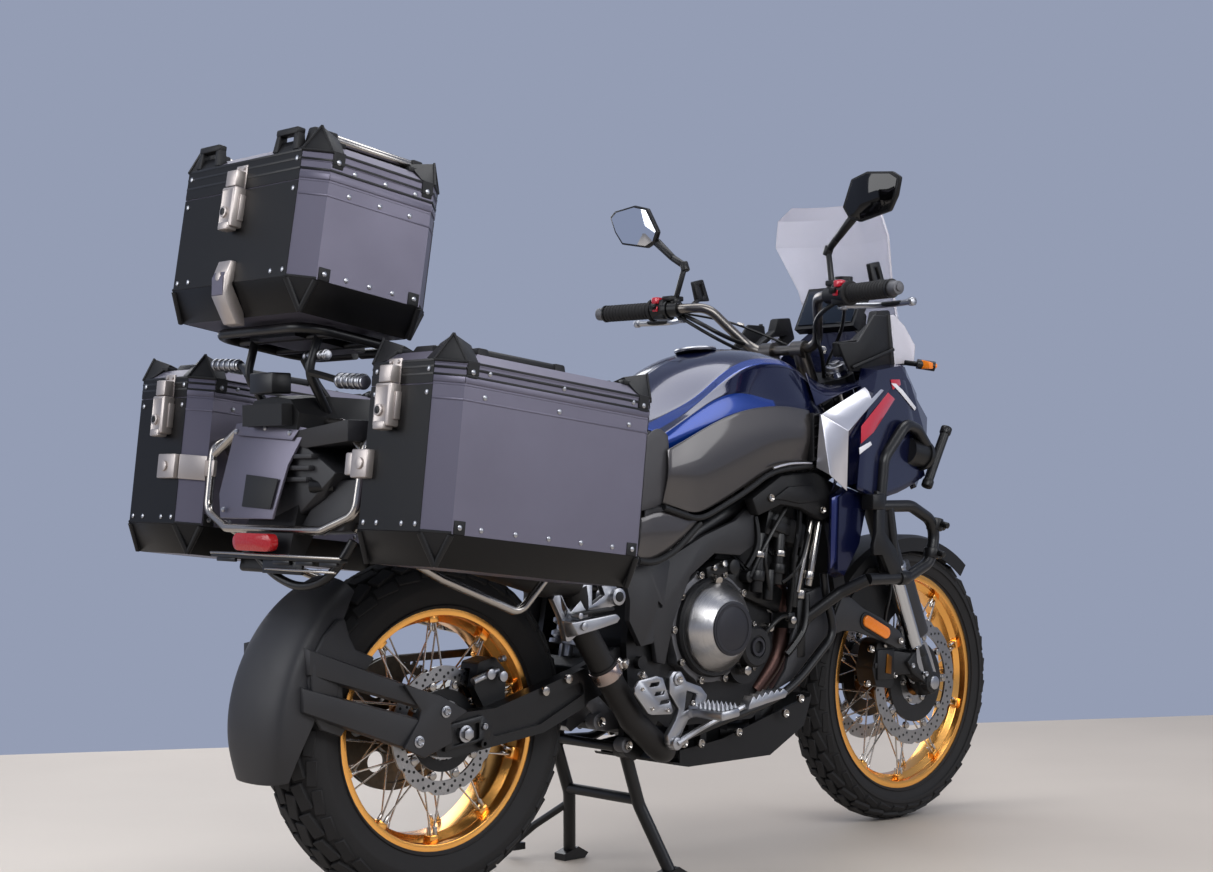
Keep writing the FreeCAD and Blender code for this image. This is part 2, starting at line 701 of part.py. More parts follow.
@cache
def swingarm():
    """Two box arms on the pivot tube, with slotted ends and the rear axle."""
    arms = []
    outline = [(-70, 322), (-62, 300), (-22, 296), (60, 306), (195, 322), (330, 372), (452, 410), (470, 440),
               (452, 470), (400, 470), (292, 435), (74, 378), (-20, 376), (-62, 366)]
    for side in (1, -1):
        outer, inner = SWINGARM_OUTER_Y, SWINGARM_OUTER_Y - SWINGARM_WALL
        y = (inner, outer) if side > 0 else (-outer, -inner)
        arm = plate(outline, y, 10)
        hollow = plate([(60, 324), (185, 338), (300, 388), (292, 412), (80, 358)],
                       (y[1] - 8, y[1] + 1) if side > 0 else (y[0] - 1, y[0] + 8), 8)
        taper_y = (116, 140) if side > 0 else (-140, -116)
        taper = box((300, 480), taper_y, (340, 500))
        arms.append(arm.cut([hollow, taper]))
    bridge = plate([(338, 385), (372, 398), (386, 440), (356, 452), (334, 432)], (-100, 100), 8)
    pivot = cross_rod(PIVOT_X, PIVOT_Z, 26, (-116, 116))
    bore = cross_rod(PIVOT_X, PIVOT_Z, PIVOT_RADIUS + SEAT_GAP, (-150, 150))
    axle = cross_rod(0, REAR_AXLE_Z, AXLE_RADIUS, (-SWINGARM_OUTER_Y - 8, SWINGARM_OUTER_Y + 8))
    nuts = [cross_rod(0, REAR_AXLE_Z, 17, (SWINGARM_OUTER_Y - 1, SWINGARM_OUTER_Y + 7)),
            cross_rod(0, REAR_AXLE_Z, 17, (-SWINGARM_OUTER_Y - 7, -SWINGARM_OUTER_Y + 1))]
    bobbins = []
    for side in (1, -1):
        far = side * (SWINGARM_OUTER_Y + 12)
        near = side * (SWINGARM_OUTER_Y - 2)
        bobbins.append(rod((BOBBIN_X, near, BOBBIN_Z), (BOBBIN_X, far, BOBBIN_Z), BOBBIN_RADIUS))
    drills = [rod((BOBBIN_X, side * (SWINGARM_OUTER_Y - 8), BOBBIN_Z),
                  (BOBBIN_X, side * (SWINGARM_OUTER_Y + 20), BOBBIN_Z), BOBBIN_BORE / 2) for side in (1, -1)]
    body = joined(arms + [bridge, pivot]).cut([bore, chain_slot()])
    return [joined([body, axle] + nuts + bobbins).cut(drills)]


def chain_slot():
    """Room for the chain beside the left arm, over the bridge."""
    return box((250, 620), (CHAIN_Y - 16, CHAIN_Y + 16), (340, 480))


# Threaded bosses near the ends of the swingarm, for a paddock stand's hooks
BOBBIN_X = 40
BOBBIN_Z = 316
BOBBIN_RADIUS = 9
BOBBIN_BORE = 8


def rear_shock():
    """Spring and damper in front of the rear wheel, with its linkage below."""
    low, high = (364, 0, 438), (418, 0, 708)
    length = (V(*high) - V(*low)).Length
    coil_pitch = (length - 90) / SHOCK_COILS
    profile = [(0, 0), (0, 14), (34, 14), (34, 36), (42, 36)]
    for coil in range(SHOCK_COILS):
        base = 44 + coil * coil_pitch
        for share, radius in ((0, 25), (0.2, 34), (0.5, 34), (0.7, 25)):
            profile.append((base + coil_pitch * share, radius))
    profile += [(length - 44, 36), (length - 36, 36), (length - 36, 14), (length, 14), (length, 0)]
    damper = without(spun(profile, low, high), swingarm() + rear_subframe())
    rocker = plate([(338, 312), (350, 300), (408, 330), (408, 352), (350, 350)], (-34, 34), 6)
    pull = plate([(342, 340), (362, 340), (362, 396), (344, 396)], (-30, 30), 3)
    return [damper, without(joined([rocker, pull]), swingarm())]


def rear_hugger():
    """The wide rear mudguard blade and the forked arm that carries it."""
    half = REAR_TYRE_WIDTH / 2 + 12
    inner = REAR_TYRE_RADIUS + 22
    wall = 4
    profile = [
        # y, r
        (-half, inner - 60), (-half, inner + 8), (-half + 22, inner + 26), (half - 22, inner + 26),
        (half, inner + 8), (half, inner - 60), (half + wall, inner - 60), (half + wall, inner + 10),
        (half - 20, inner + 30), (-half + 20, inner + 30), (-half - wall, inner + 10), (-half - wall, inner - 60),
    ]
    blade = turned_sector(profile, 0, REAR_AXLE_Z, 128, 190)
    arms = []
    upper = [(-250, 470), (-120, 425), (12, 392), (12, 352), (-30, 344), (-110, 318), (-240, 300), (-290, 322),
             (-290, 450)]
    slot = [(-232, 408), (-130, 388), (-52, 372), (-60, 360), (-120, 345), (-226, 330), (-250, 350)]
    for side in (1, -1):
        y = (SWINGARM_OUTER_Y + 9, SWINGARM_OUTER_Y + 16)
        fork = plate(upper, y, 12).cut(plate(slot, (y[0] - 1, y[1] + 1), 8))
        spacer = box((-292, -232), (half, y[1]), (345, 450))
        boss = cross_rod(-40, 356, 8, (SWINGARM_OUTER_Y + SEAT_GAP, y[1]))
        piece = joined([fork, spacer, boss])
        arms.append(piece if side > 0 else mirrored(piece))
    nut_room = [cross_rod(0, REAR_AXLE_Z, 30, (-160, 160)), cross_rod(0, REAR_AXLE_Z, inner - 62, (-half, half))]
    return [joined([blade] + arms).cut(nut_room)]


def rear_caliper():
    """The rear brake caliper above the right arm, straddling its disc."""
    slot = DISC_THICKNESS / 2 + DISC_CLEARANCE
    outline = [(50, 414), (60, 462), (100, 470), (128, 440), (122, 372), (76, 372)]
    y = (-REAR_DISC_Y - slot - 22, -REAR_DISC_Y + slot + 12)
    body = plate(outline, y, 8)
    gap = turned([(-REAR_DISC_Y - slot, 30), (-REAR_DISC_Y - slot, REAR_DISC_RADIUS + DISC_CLEARANCE),
                  (-REAR_DISC_Y + slot, REAR_DISC_RADIUS + DISC_CLEARANCE), (-REAR_DISC_Y + slot, 30)],
                 0, REAR_AXLE_Z)
    foot = plate([(60, 420), (122, 420), (128, 360), (80, 356)], (y[0], y[0] + 15), 6)
    body = max(body.cut(gap).Solids, key=lambda solid: solid.Volume)
    return [without(joined([body, foot]), swingarm()).Solids[0]]


# Engine, cooling and exhaust

@cache
def engine_cases():
    """Crankcase and gearbox as one closed block."""
    outline = [(478, 560), (470, 480), (478, 400), (500, 330), (540, 300), (800, 296), (850, 340), (868, 430),
               (850, 520), (760, 585), (640, 600), (540, 590)]
    block = plate(outline, (-112, 112), 26)
    return [without(block, [cross_rod(PIVOT_X, PIVOT_Z, 30, (-150, 150)), sprocket_room()] + main_frame())]


def sprocket_room():
    """Space in the cases for the drive sprocket and the chain round it."""
    return cross_rod(DRIVE_SPROCKET_X, DRIVE_SPROCKET_Z, DRIVE_SPROCKET_RADIUS + 20, (CHAIN_Y - 14, 140))


@cache
def engine_cylinders():
    """The inclined cylinder block, head and cam cover, stacked with their joint lines."""
    along = V(sin(radians(38)), 0, cos(radians(38)))
    across = V(cos(radians(38)), 0, -sin(radians(38)))
    base = V(740, 0, 560)
    pieces = []
    for low, high, half, back, front in (
            # from, to, half width, back, front
            (-12, 70, 100, -82, 74), (70, 76, 104, -86, 78), (76, 140, 106, -84, 80), (140, 146, 110, -88, 84),
            (146, 186, 96, -72, 70)):
        corner = [base + along * low + across * back, base + along * high + across * back,
                  base + along * high + across * front, base + along * low + across * front]
        pieces.append(plate([(point.x, point.z) for point in corner], (-half, half)))
    return [without(joined(pieces), engine_cases() + main_frame()).Solids[0]]


def engine_covers():
    """Clutch cover on the right, generator and sprocket covers on the left."""
    clutch = turned([(-112, 0), (-112, 112), (-150, 112), (-156, 104), (-166, 100), (-196, 66), (-206, 60),
                     (-206, 0)], 644, 500)
    small = turned([(-112, 0), (-112, 50), (-168, 50), (-178, 42), (-178, 0)], 748, 425)
    right = joined([clutch, small])
    generator = turned([(112, 0), (112, 96), (140, 96), (168, 74), (174, 66), (174, 0)], 745, 440)
    guard = plate([(520, 500), (590, 500), (628, 470), (628, 384), (590, 352), (520, 352)],
                  (112 + SEAT_GAP, 134), 16)
    chain_gap = box((400, DRIVE_SPROCKET_X + 60), (100, 118), (345, 492))
    return [right, joined([generator, guard.cut(chain_gap)])]


def drive_sprocket():
    """The small sprocket on the gearbox shaft."""
    root = DRIVE_SPROCKET_RADIUS - 8
    return cross_rod(DRIVE_SPROCKET_X, DRIVE_SPROCKET_Z, root, (CHAIN_Y - 14, CHAIN_Y + 4))


def radiator():
    """The cooler across the front with side tanks and rows of fins."""
    core = box((-14, 14), (-120, 120), (-130, 130))
    slots = []
    for row in range(12):
        z = -120 + row * 21
        slots.append(box((8, 20), (-112, 112), (z, z + 9)))
    tanks = [box((-18, 18), (120, 150), (-136, 136)), box((-18, 18), (-150, -120), (-136, 136))]
    shape = joined([core.cut(slots)] + tanks)
    shape.rotate(V(0, 0, 0), V(0, 1, 0), -14)
    shape.translate(V(1012, 0, 690))
    return [without(shape, main_frame())]


@cache
def exhaust_pipes():
    """Two headers down the front, a run under the engine and a pipe up to the silencer."""
    pieces = []
    for side in (1, -1):
        pieces.append(bent_tube([(858, side * 45, 655), (930, side * 48, 622), (950, side * 50, 480),
                                 (912, side * 52, 310), (840, side * 52, 262), (760, side * 40, 262)], 20, 60))
    merge = hull([(775, [(0, 284), (62, 284), (62, 240), (0, 240)]), (690, [(0, 288), (30, 288), (30, 236), (0, 236)])])
    run = bent_tube([(700, 0, 262), (640, 0, 262), (560, -88, 262), (478, -166, 262), (395, -166, 330),
                     (312, -160, 452), (262, -163, 520), (235, -170, 600)], 26, 60)
    clamp_ring = rod((336, -161, 417), (318, -160, 444), 29)
    return [without(joined(pieces + [merge, run, clamp_ring]), engine_cylinders())]


def silencer():
    """The silencer beside the subframe, behind the right case."""
    start, end = (232, -171, 608), (-215, -186, 735)
    length = (V(*end) - V(*start)).Length
    profile = [(0, 0), (0, 30), (70, 46), (length - 40, 46), (length, 30), (length + 8, 20), (length + 8, 17),
               (length - 50, 17), (length - 50, 0)]
    return [without(spun(profile, start, end), exhaust_pipes())]


def skid_plate():
    """The guard under the engine, turned up at its front."""
    low = [(560, 222), (600, 214), (850, 214), (960, 268), (985, 330)]
    profile = low + [(x - 4, z + 6) for x, z in reversed(low)]
    floor = plate(profile, (-118, 118))
    cheeks = []
    for y in ((112, 118), (-118, -112)):
        cheeks.append(plate([(575, 220), (850, 214), (960, 268), (984, 330), (900, 312), (700, 262), (575, 250)], y))
    posts = []
    for x in (650, 818):
        for y in ((86, 104), (-104, -86)):
            posts.append(box((x, x + 18), y, (216, 330)))
    return [without(joined([floor] + cheeks + posts), engine_cases() + [side_stand_mount()])]


# Body work

@cache
def fuel_tank():
    """The tank with its shoulders and the hump over the filler."""
    return [hull([
        # x, half outline (y, z)
        (1000, [(0, 1030), (70, 1024), (114, 1000), (150, 950), (150, 900), (0, 900)]),
        (930, [(0, 1072), (85, 1064), (138, 1032), (186, 960), (184, 870), (0, 870)]),
        (860, [(0, 1090), (90, 1082), (152, 1040), (196, 955), (190, 840), (0, 840)]),
        (723, [(0, 1078), (80, 1070), (146, 1028), (188, 945), (182, 822), (0, 822)]),
        (600, [(0, 1046), (66, 1038), (124, 1000), (162, 925), (160, 810), (0, 810)]),
        (520, [(0, 1008), (54, 1000), (98, 968), (128, 900), (128, 806), (0, 806)]),
        (470, [(0, 950), (44, 944), (76, 920), (96, 880), (96, 806), (0, 806)]),
    ])]


@cache
def tank_side_panels():
    """The knee panel on each side and the cover below it."""
    knee = panel([(474, 893), (560, 930), (700, 965), (820, 972), (905, 950), (905, 850), (840, 812), (760, 800),
                  (640, 745), (560, 720), (482, 752)], 203, (0.03, -0.03), 46, 0.03)
    lower = panel([(482, 748), (556, 718), (640, 744), (600, 690), (520, 610), (441, 600), (430, 690)],
                  186, (0.02, 0.0), 40, 0.04)
    knee = without(knee, [fuel_tank()[0], lower] + main_frame() + rear_subframe())
    lower = without(lower, main_frame() + rear_subframe())
    return both(knee.Solids[0]) + both(lower.Solids[0])


@cache
def radiator_shrouds():
    """The faceted silver shroud ahead of the tank on each side."""
    outline = [(1038, 1008), (930, 996), (846, 940), (874, 858), (956, 776), (968, 900)]
    shroud = panel(outline, 256, (-0.02, -0.02), 60, 0.1)
    shroud = without(shroud, [fuel_tank()[0]] + both(tank_side_panels()[0]))
    return both(shroud.Solids[0])


@cache
def front_fairing():
    """The coloured panels beside the steering head, down to the blade ahead of the cylinders."""
    upper = panel([(1060, 1046), (1165, 1062), (1215, 1020), (1290, 900), (1275, 800), (1120, 760), (1000, 790),
                   (985, 890), (1045, 1000)], 226, (-0.16, 0.02), 44, 0.05)
    blade = panel([(1000, 788), (1060, 770), (1035, 660), (985, 590), (962, 600), (958, 770)],
                  214, (0.0, 0.05), 26, 0.06)
    blade = joined([blade, cross_rod(1006, 716, 9, (150 + SEAT_GAP, 200))])
    upper = without(upper, radiator_shrouds() + [blade])
    blade = without(blade, radiator_shrouds())
    cowl = hull([
        # x, half outline (y, z)
        (1188, [(0, 1150), (60, 1146), (150, 1090), (165, 1060), (150, 1052), (0, 1052)]),
        (1300, [(0, 1120), (60, 1110), (128, 1060), (140, 1010), (120, 996), (0, 996)]),
        (1400, [(0, 1052), (40, 1046), (84, 1004), (88, 960), (70, 950), (0, 950)]),
    ])
    side = panel([(1196, 1048), (1300, 996), (1402, 948), (1392, 850), (1310, 780), (1280, 800), (1294, 900),
                  (1220, 1016)], 158, (-0.42, 0.0), 16, 0.04)
    side = joined([side, rod((1340, 60, 896), (1340, 136, 896), 9)])
    side = without(side, [cowl, upper, lamp_shell()])
    solids = both(upper.Solids[0]) + both(blade.Solids[0]) + both(side.Solids[0])
    return [cowl] + solids


@cache
def lamp_shell():
    """The headlamp's body before the panels round it are taken off."""
    return hull([
        # x, half outline (y, z)
        (1312, [(0, 990), (100, 985), (118, 900), (92, 800), (0, 784)]),
        (1392, [(0, 948), (72, 944), (82, 890), (62, 806), (0, 790)]),
        (1420, [(0, 930), (52, 926), (60, 880), (44, 820), (0, 806)]),
    ])


def headlamp():
    """The twin-lens lamp under the cowl."""
    return [without(lamp_shell(), front_fairing())]


def windscreen():
    """A clear curved screen, wide near its top and waisted below."""
    wires = []
    for z, half, centre_x, edge_x in (
            # height, half width, x at the middle, x at the edge
            (1068, 150, 1372, 1300), (1160, 132, 1352, 1270), (1250, 140, 1318, 1240), (1350, 168, 1282, 1192),
            (1410, 152, 1256, 1182), (1438, 112, 1243, 1186)):
        outer = Part.Arc(V(edge_x, half, z), V(centre_x, 0, z), V(edge_x, -half, z)).toShape()
        inner = Part.Arc(V(edge_x - 5, -half + 1, z), V(centre_x - 5, 0, z), V(edge_x - 5, half - 1, z)).toShape()
        ends = [Part.LineSegment(V(edge_x, -half, z), V(edge_x - 5, -half + 1, z)).toShape(),
                Part.LineSegment(V(edge_x - 5, half - 1, z), V(edge_x, half, z)).toShape()]
        wires.append(Part.Wire([outer, ends[0], inner, ends[1]]))
    screen = Part.makeLoft(wires, True, True)
    return [without(screen, front_fairing()).Solids[0]]


def instrument_panel():
    """The display and its bracket behind the screen."""
    display = box((-8, 14), (-88, 88), (-55, 55))
    display.rotate(V(0, 0, 0), V(0, 1, 0), 28)
    display.translate(V(1196, 0, 1196))
    stalk = plate([(1196, 1140), (1240, 1130), (1246, 1180), (1214, 1200)], (-60, 60), 6)
    stay = plate([(1110, 905), (1125, 965), (1215, 1010), (1240, 1070), (1290, 1070), (1250, 975)], (-24, 24), 8)
    bracket = without(stay, front_fairing() + main_frame()).Solids[0]
    return [without(joined([display, stalk]), front_fairing()), bracket]


@cache
def auxiliary_lamps():
    """A round driving lamp inside each crash-bar loop, on an arm from the side panel."""
    lamp = rod((1205, 205, 868), (1262, 205, 858), 30)
    ring = rod((1258, 205, 858.7), (1268, 205, 857), 34)
    arm = rod((1215, 180, 866), (1215, 205, 866), 9)
    return both(without(joined([lamp, ring, arm]), front_fairing()).Solids[0])


def signal_lamps():
    """Four slim turn signals on short stalks."""
    front = joined([rod((1228, 134, 1073), (1250, 218, 1060), 6), rod((1236, 212, 1062), (1266, 238, 1056), 11)])
    front = without(front, front_fairing()).Solids[0]
    rear = joined([rod((-300, 40, 792), (-312, 118, 792), 6), rod((-326, 112, 792), (-300, 148, 792), 11)])
    rear = without(rear, tail_unit()).Solids[0]
    return both(front) + both(rear)


def rider_seat():
    """The rider's cushion, narrow where it meets the tank."""
    return [hull([
        # x, half outline (y, z)
        (462, [(0, 900), (40, 896), (66, 870), (72, 826), (0, 826)]),
        (380, [(0, 874), (80, 868), (118, 842), (122, 812), (0, 812)]),
        (250, [(0, 872), (110, 870), (158, 850), (160, 826), (0, 826)]),
        (130, [(0, 888), (110, 886), (156, 866), (158, 836), (0, 836)]),
    ])]


@cache
def passenger_seat():
    """The passenger's cushion, one step higher."""
    return [hull([
        # x, half outline (y, z)
        (129.7, [(0, 928), (100, 924), (140, 896), (146, 842), (0, 842)]),
        (0, [(0, 944), (96, 940), (130, 918), (136, 866), (0, 866)]),
        (-150, [(0, 952), (76, 948), (104, 930), (108, 896), (0, 896)]),
    ])]


@cache
def tail_unit():
    """Tail cover, rear lamp housing and the number-plate holder below it."""
    cover = hull([
        # x, half outline (y, z)
        (-152, [(0, 950), (80, 946), (118, 900), (118, 850), (0, 835)]),
        (-260, [(0, 955), (70, 950), (104, 910), (100, 868), (0, 855)]),
        (-330, [(0, 950), (56, 944), (84, 920), (76, 890), (0, 880)]),
    ])
    stay = plate([(-285, 880), (-240, 876), (-262, 760), (-330, 640), (-352, 640), (-322, 770)], (-74, 74), 10)
    board = box((-4, 0), (-96, 96), (-82, 82))
    board.rotate(V(0, 0, 0), V(0, 1, 0), 14)
    board.translate(V(-352, 0, 765))
    pieces = [without(cover, rear_subframe()).Solids[0], stay, board]
    lamp = box((-352, -330), (-62, 62), (898, 936))
    reflector = box((-366, -352), (-20, 62), (672, 700))
    return [without(joined(pieces + [lamp, reflector]), rear_subframe()).Solids[0]]


# Guards and racks

def crash_bars():
    """Upper and lower tubular guards on each side, tied to the frame by a plate."""
    radius = 13
    upper = bent_tube([(1073, 236, 729), (1088, 236, 850), (1165, 236, 926), (1215, 228, 915), (1318, 205, 836)],
                      radius, 40)
    post = bent_tube([(1392, 178, 936), (1352, 196, 862), (1300, 222, 762)], radius + 2, 60)
    lower = bent_tube([(1075, 236, 745), (1170, 246, 745), (1262, 244, 705), (1240, 246, 620), (1150, 250, 588),
                       (1020, 246, 588)], radius, 50)
    tie = bent_tube([(1020, 246, 588), (985, 200, 560), (930, 150, 505), (908, 130, 455)], radius, 30)
    strut = rod((1100, 240, 745), (1120, 248, 590), radius - 2)
    gusset = plate([(1062, 758), (1096, 758), (1128, 580), (1092, 580)], (230, 244), 8)
    side = joined([upper, post, lower, tie, strut, gusset])
    side = without(side, front_fairing() + radiator_shrouds() + auxiliary_lamps() + main_frame())
    return both(side.Solids[0])


def luggage_rack():
    """The tubular frames that carry the side cases, and their cross tube."""
    radius = RACK_TUBE_RADIUS
    hoop = bent_tube([(-330, 0, 716), (-330, 150, 716), (-318, 232, 745), (-300, 238, 872), (-120, 238, 890),
                      (110, 238, 862), (128, 232, 640), (60, 216, 560), (-120, 218, 628), (-300, 205, 722)],
                     radius, 30)
    stay = rod((120, 236, 760), (190, 128, 742), radius)
    stay_rear = bent_tube([(-302, 236, 850), (-290, 160, 900), (-276, 80, 905)], radius, 30)
    foot = bent_tube([(66, 216, 562), (150, 204, 522), (300, 150, 478)], radius, 30)
    side = joined([hoop, stay, stay_rear])
    pads = []
    for x, z in ((-250, 860), (60, 840)):
        pads.append(cross_rod(x, z, 16, (240, PANNIER_INNER_Y - SEAT_GAP)))
    side = joined([side] + pads)
    side = without(side, rear_subframe() + tail_unit())
    return [joined(both(side.Solids[0])), foot]


def topcase_rack():
    """The plate and ring under the top case, on posts from the subframe."""
    tilt = tan(radians(TOPCASE_PITCH))
    top_z = TOPCASE_REAR_Z - 14

    def deck(x):
        return top_z - (x - TOPCASE_REAR_X) * tilt

    ring = bent_tube([(-150, 0, deck(-150)), (-150, 150, deck(-150)), (-360, 150, deck(-360)),
                      (-360, -150, deck(-360)), (-150, -150, deck(-150)), (-150, -20, deck(-150))], 9, 50)
    bars = []
    for x in (-300, -220):
        bars.append(cross_rod(x, deck(x), 8, (-150, 150)))
    centre = plate([(-330, deck(-330) - 6), (-180, deck(-180) - 6), (-180, deck(-180) + 13),
                    (-330, deck(-330) + 13)], (-70, 70))
    posts = []
    for side in (1, -1):
        posts.append(bent_tube([(-300, side * 100, deck(-300)), (-320, side * 96, 990), (-262, side * 84, 906)], 8, 40))
        posts.append(bent_tube([(-170, side * 140, deck(-170)), (-150, side * 120, 980), (-60, side * 98, 860)], 8, 40))
    shape = joined([ring, centre] + bars + posts)
    return [without(shape, rear_subframe() + passenger_seat() + tail_unit()).Solids[0]]


def footrest_hangers():
    """Alloy brackets with the rider's pegs and pedals, and the passenger's brackets behind them."""
    rider = plate([(492, 414), (540, 400), (556, 372), (520, 330), (492, 270), (462, 276), (440, 330), (430, 372),
                   (452, 396)], (200, 211), 10)
    hole = plate([(486, 380), (510, 372), (496, 330), (476, 330)], (190, 220), 6)
    arm = cross_rod(492, 396, 13, (134, 202))
    arm_low = cross_rod(448, 380, 9, (134, 202))
    peg = box((500, 532), (209, 300), (338, 356))
    pedal = bent_tube([(490, 217, 292), (560, 224, 288), (640, 232, 330)], 6, 30)
    pad = box((632, 662), (222, 262), (326, 338))
    rider_side = joined([rider.cut(hole), arm, arm_low, peg, pedal, pad])
    rider_side = without(rider_side, main_frame())
    passenger = plate([(300, 640), (360, 652), (384, 600), (352, 500), (330, 486), (312, 500), (326, 560),
                       (300, 600)], (186, 198), 10)
    window = plate([(330, 626), (352, 622), (344, 560), (336, 560)], (180, 204), 5)
    lug = rod((332, 128, 628), (332, 188, 630), 12)
    peg_back = box((318, 342), (196, 268), (500, 516))
    passenger_side = joined([passenger.cut(window), lug, peg_back])
    passenger_side = without(passenger_side, rear_subframe()).Solids[0]
    return both(rider_side) + both(passenger_side)


# Stands

def centre_stand():
    """Two splayed legs on a pivot tube, with feet, a cross tube and a foot lever on the left."""
    top = (STAND_PIVOT_X, STAND_PIVOT_Z)
    pieces = []
    for side in (1, -1):
        hip = (top[0], side * STAND_HALF_WIDTH, top[1])
        knee = (top[0] + 42, side * STAND_HALF_WIDTH, 150)
        ankle = (STAND_FOOT_X - 6, side * STAND_FOOT_HALF_WIDTH, 16)
        pieces.append(bent_tube([hip, knee, ankle], STAND_TUBE_RADIUS, 60))
        pieces.append(cross_rod(top[0], top[1], 20, sorted((side * 92, side * 116))))
        foot = plate([(STAND_FOOT_X - 34, 0), (STAND_FOOT_X + 24, 0), (STAND_FOOT_X + 34, 10),
                      (STAND_FOOT_X + 6, 26), (STAND_FOOT_X - 34, 14)],
                     sorted((side * (STAND_FOOT_HALF_WIDTH - 16), side * (STAND_FOOT_HALF_WIDTH + 16))))
        pieces.append(foot)
    pieces.append(cross_rod(top[0] + 38, 160, 11, (-STAND_HALF_WIDTH, STAND_HALF_WIDTH)))
    pieces.append(bent_tube([(top[0] + 50, STAND_HALF_WIDTH + 6, 130), (452, 190, 74), (430, 232, 34)], 8, 30))
    pieces.append(box((414, 446), (214, 250), (20, 34)))
    bore = cross_rod(top[0], top[1], 10 + RUNNING_GAP, (-200, 200))
    return [joined(pieces).cut(bore)]


def stand_mount():
    """The tube under the frame on which the centre stand turns."""
    pieces = [cross_rod(STAND_PIVOT_X, STAND_PIVOT_Z, 10, (-134, 134))]
    for side in (1, -1):
        y = sorted((side * 118, side * 134))
        pieces.append(plate([(406, 300), (454, 300), (446, 250), (414, 250)], y, 6))
    return pieces


def side_stand():
    """The side stand, folded back under the left side."""
    pieces = [cross_rod(SIDE_PIVOT[0], SIDE_PIVOT[1], 15, (146 + LID_GAP, 168))]
    route = [(SIDE_PIVOT[0], 160, SIDE_PIVOT[1]), (SIDE_PIVOT[0] - 60, 164, SIDE_PIVOT[1] - 22),
             (SIDE_PIVOT[0] - SIDE_STAND_LENGTH + 10, 192, SIDE_PIVOT[1] - 18)]
    pieces.append(bent_tube(route, 10, 60))
    end = route[-1]
    pieces.append(box((end[0] - 24, end[0] + 30), (end[1] - 14, end[1] + 26), (end[2] - 9, end[2] - 2)))
    bore = cross_rod(SIDE_PIVOT[0], SIDE_PIVOT[1], 6 + RUNNING_GAP, (100, 200))
    return [joined(pieces).cut(bore)]


SIDE_PIVOT = (650, 272)


def side_stand_mount():
    """The lug under the left of the engine that carries the side stand."""
    corners = ((-30, 38), (30, 38), (26, -10), (0, -26), (-26, -10))
    lug = plate([(SIDE_PIVOT[0] + x, SIDE_PIVOT[1] + z) for x, z in corners], (112, 146), 8)
    pin = cross_rod(SIDE_PIVOT[0], SIDE_PIVOT[1], 6, (140, 170))
    return joined([lug, pin])


# Cases

def case_shell(length, width, height, chamfer):
    """The outside of a case in its own frame, with its rear bottom edge at the origin.

    Its upright edges are chamfered. Its sides slope in towards the floor and the top, and there each chamfer runs
    out in a triangle.
    """
    half = width / 2

    def ring(z, drop, corner):
        rear, front, side = drop, length - drop, half - drop
        return polygon([(rear, -side + corner, z), (rear + corner, -side, z), (front - corner, -side, z),
                        (front, -side + corner, z), (front, side - corner, z), (front - corner, side, z),
                        (rear + corner, side, z), (rear, side - corner, z)])

    low = Part.makeLoft([ring(0, CASE_FOOT_DROP, 2), ring(CASE_FOOT_HEIGHT, 0, chamfer)], True, True)
    middle = Part.makeLoft([ring(CASE_FOOT_HEIGHT, 0, chamfer), ring(height - CASE_TOP_HEIGHT, 0, chamfer)], True, True)
    top = Part.makeLoft([ring(height - CASE_TOP_HEIGHT, 0, chamfer), ring(height, CASE_TOP_DROP, 2)], True, True)
    return joined([low, middle, top])


def case_pair(length, width, height, lid_height, chamfer):
    """The open tray and the lid of a case, each with its hinge knuckles, in the case's own frame."""
    outer = case_shell(length, width, height, chamfer)
    inner = case_shell(length - 2 * CASE_WALL, width - 2 * CASE_WALL, height - 2 * CASE_WALL, chamfer - 1)
    inner.translate(V(CASE_WALL, 0, CASE_WALL))
    seam = height - lid_height
    far = 2 * length
    below = box((-far, far), (-far, far), (-far, seam - LID_GAP / 2))
    above = box((-far, far), (-far, far), (seam + LID_GAP / 2, far))
    tray = outer.common(below).cut(inner)
    lid = outer.common(above).cut(inner)
    hinge_x = length + HINGE_STANDOFF
    span = width * 0.3
    for y in ((-span, -span + 28), (span - 28, span)):
        barrel = cross_rod(hinge_x, seam, HINGE_STANDOFF - 1.5, y)
        leaf = box((length - 1, hinge_x), y, (seam - 26, seam - 3))
        tray = tray.fuse([barrel, leaf])
    for y in ((-span + 28 + LID_GAP, -span + 56), (span - 56, span - 28 - LID_GAP)):
        barrel = cross_rod(hinge_x, seam, HINGE_STANDOFF - 1.5, y)
        leaf = box((length - 1, hinge_x), y, (seam + 3, seam + 24))
        lid = lid.fuse([barrel, leaf])
    return tray, lid, seam


PANNIER_AT = (PANNIER_REAR_X, PANNIER_INNER_Y + PANNIER_WIDTH / 2, PANNIER_REAR_Z)
TOPCASE_AT = (TOPCASE_REAR_X, 0, TOPCASE_REAR_Z)


def latch(y, seam, part):
    """Half of a toggle latch on the rear face: the catch on the lid or the lever on the tray."""
    if part == "lid":
        return joined([box((-12, 0.5), (y - 15, y + 15), (seam + 1, seam + 30)),
                       box((-20, -8), (y - 11, y + 11), (seam + 8, seam + 24))])
    return joined([box((-12, 0.5), (y - 19, y + 19), (seam - 62, seam - 1)),
                   box((-20, -8), (y - 15, y + 15), (seam - 54, seam - 5))])


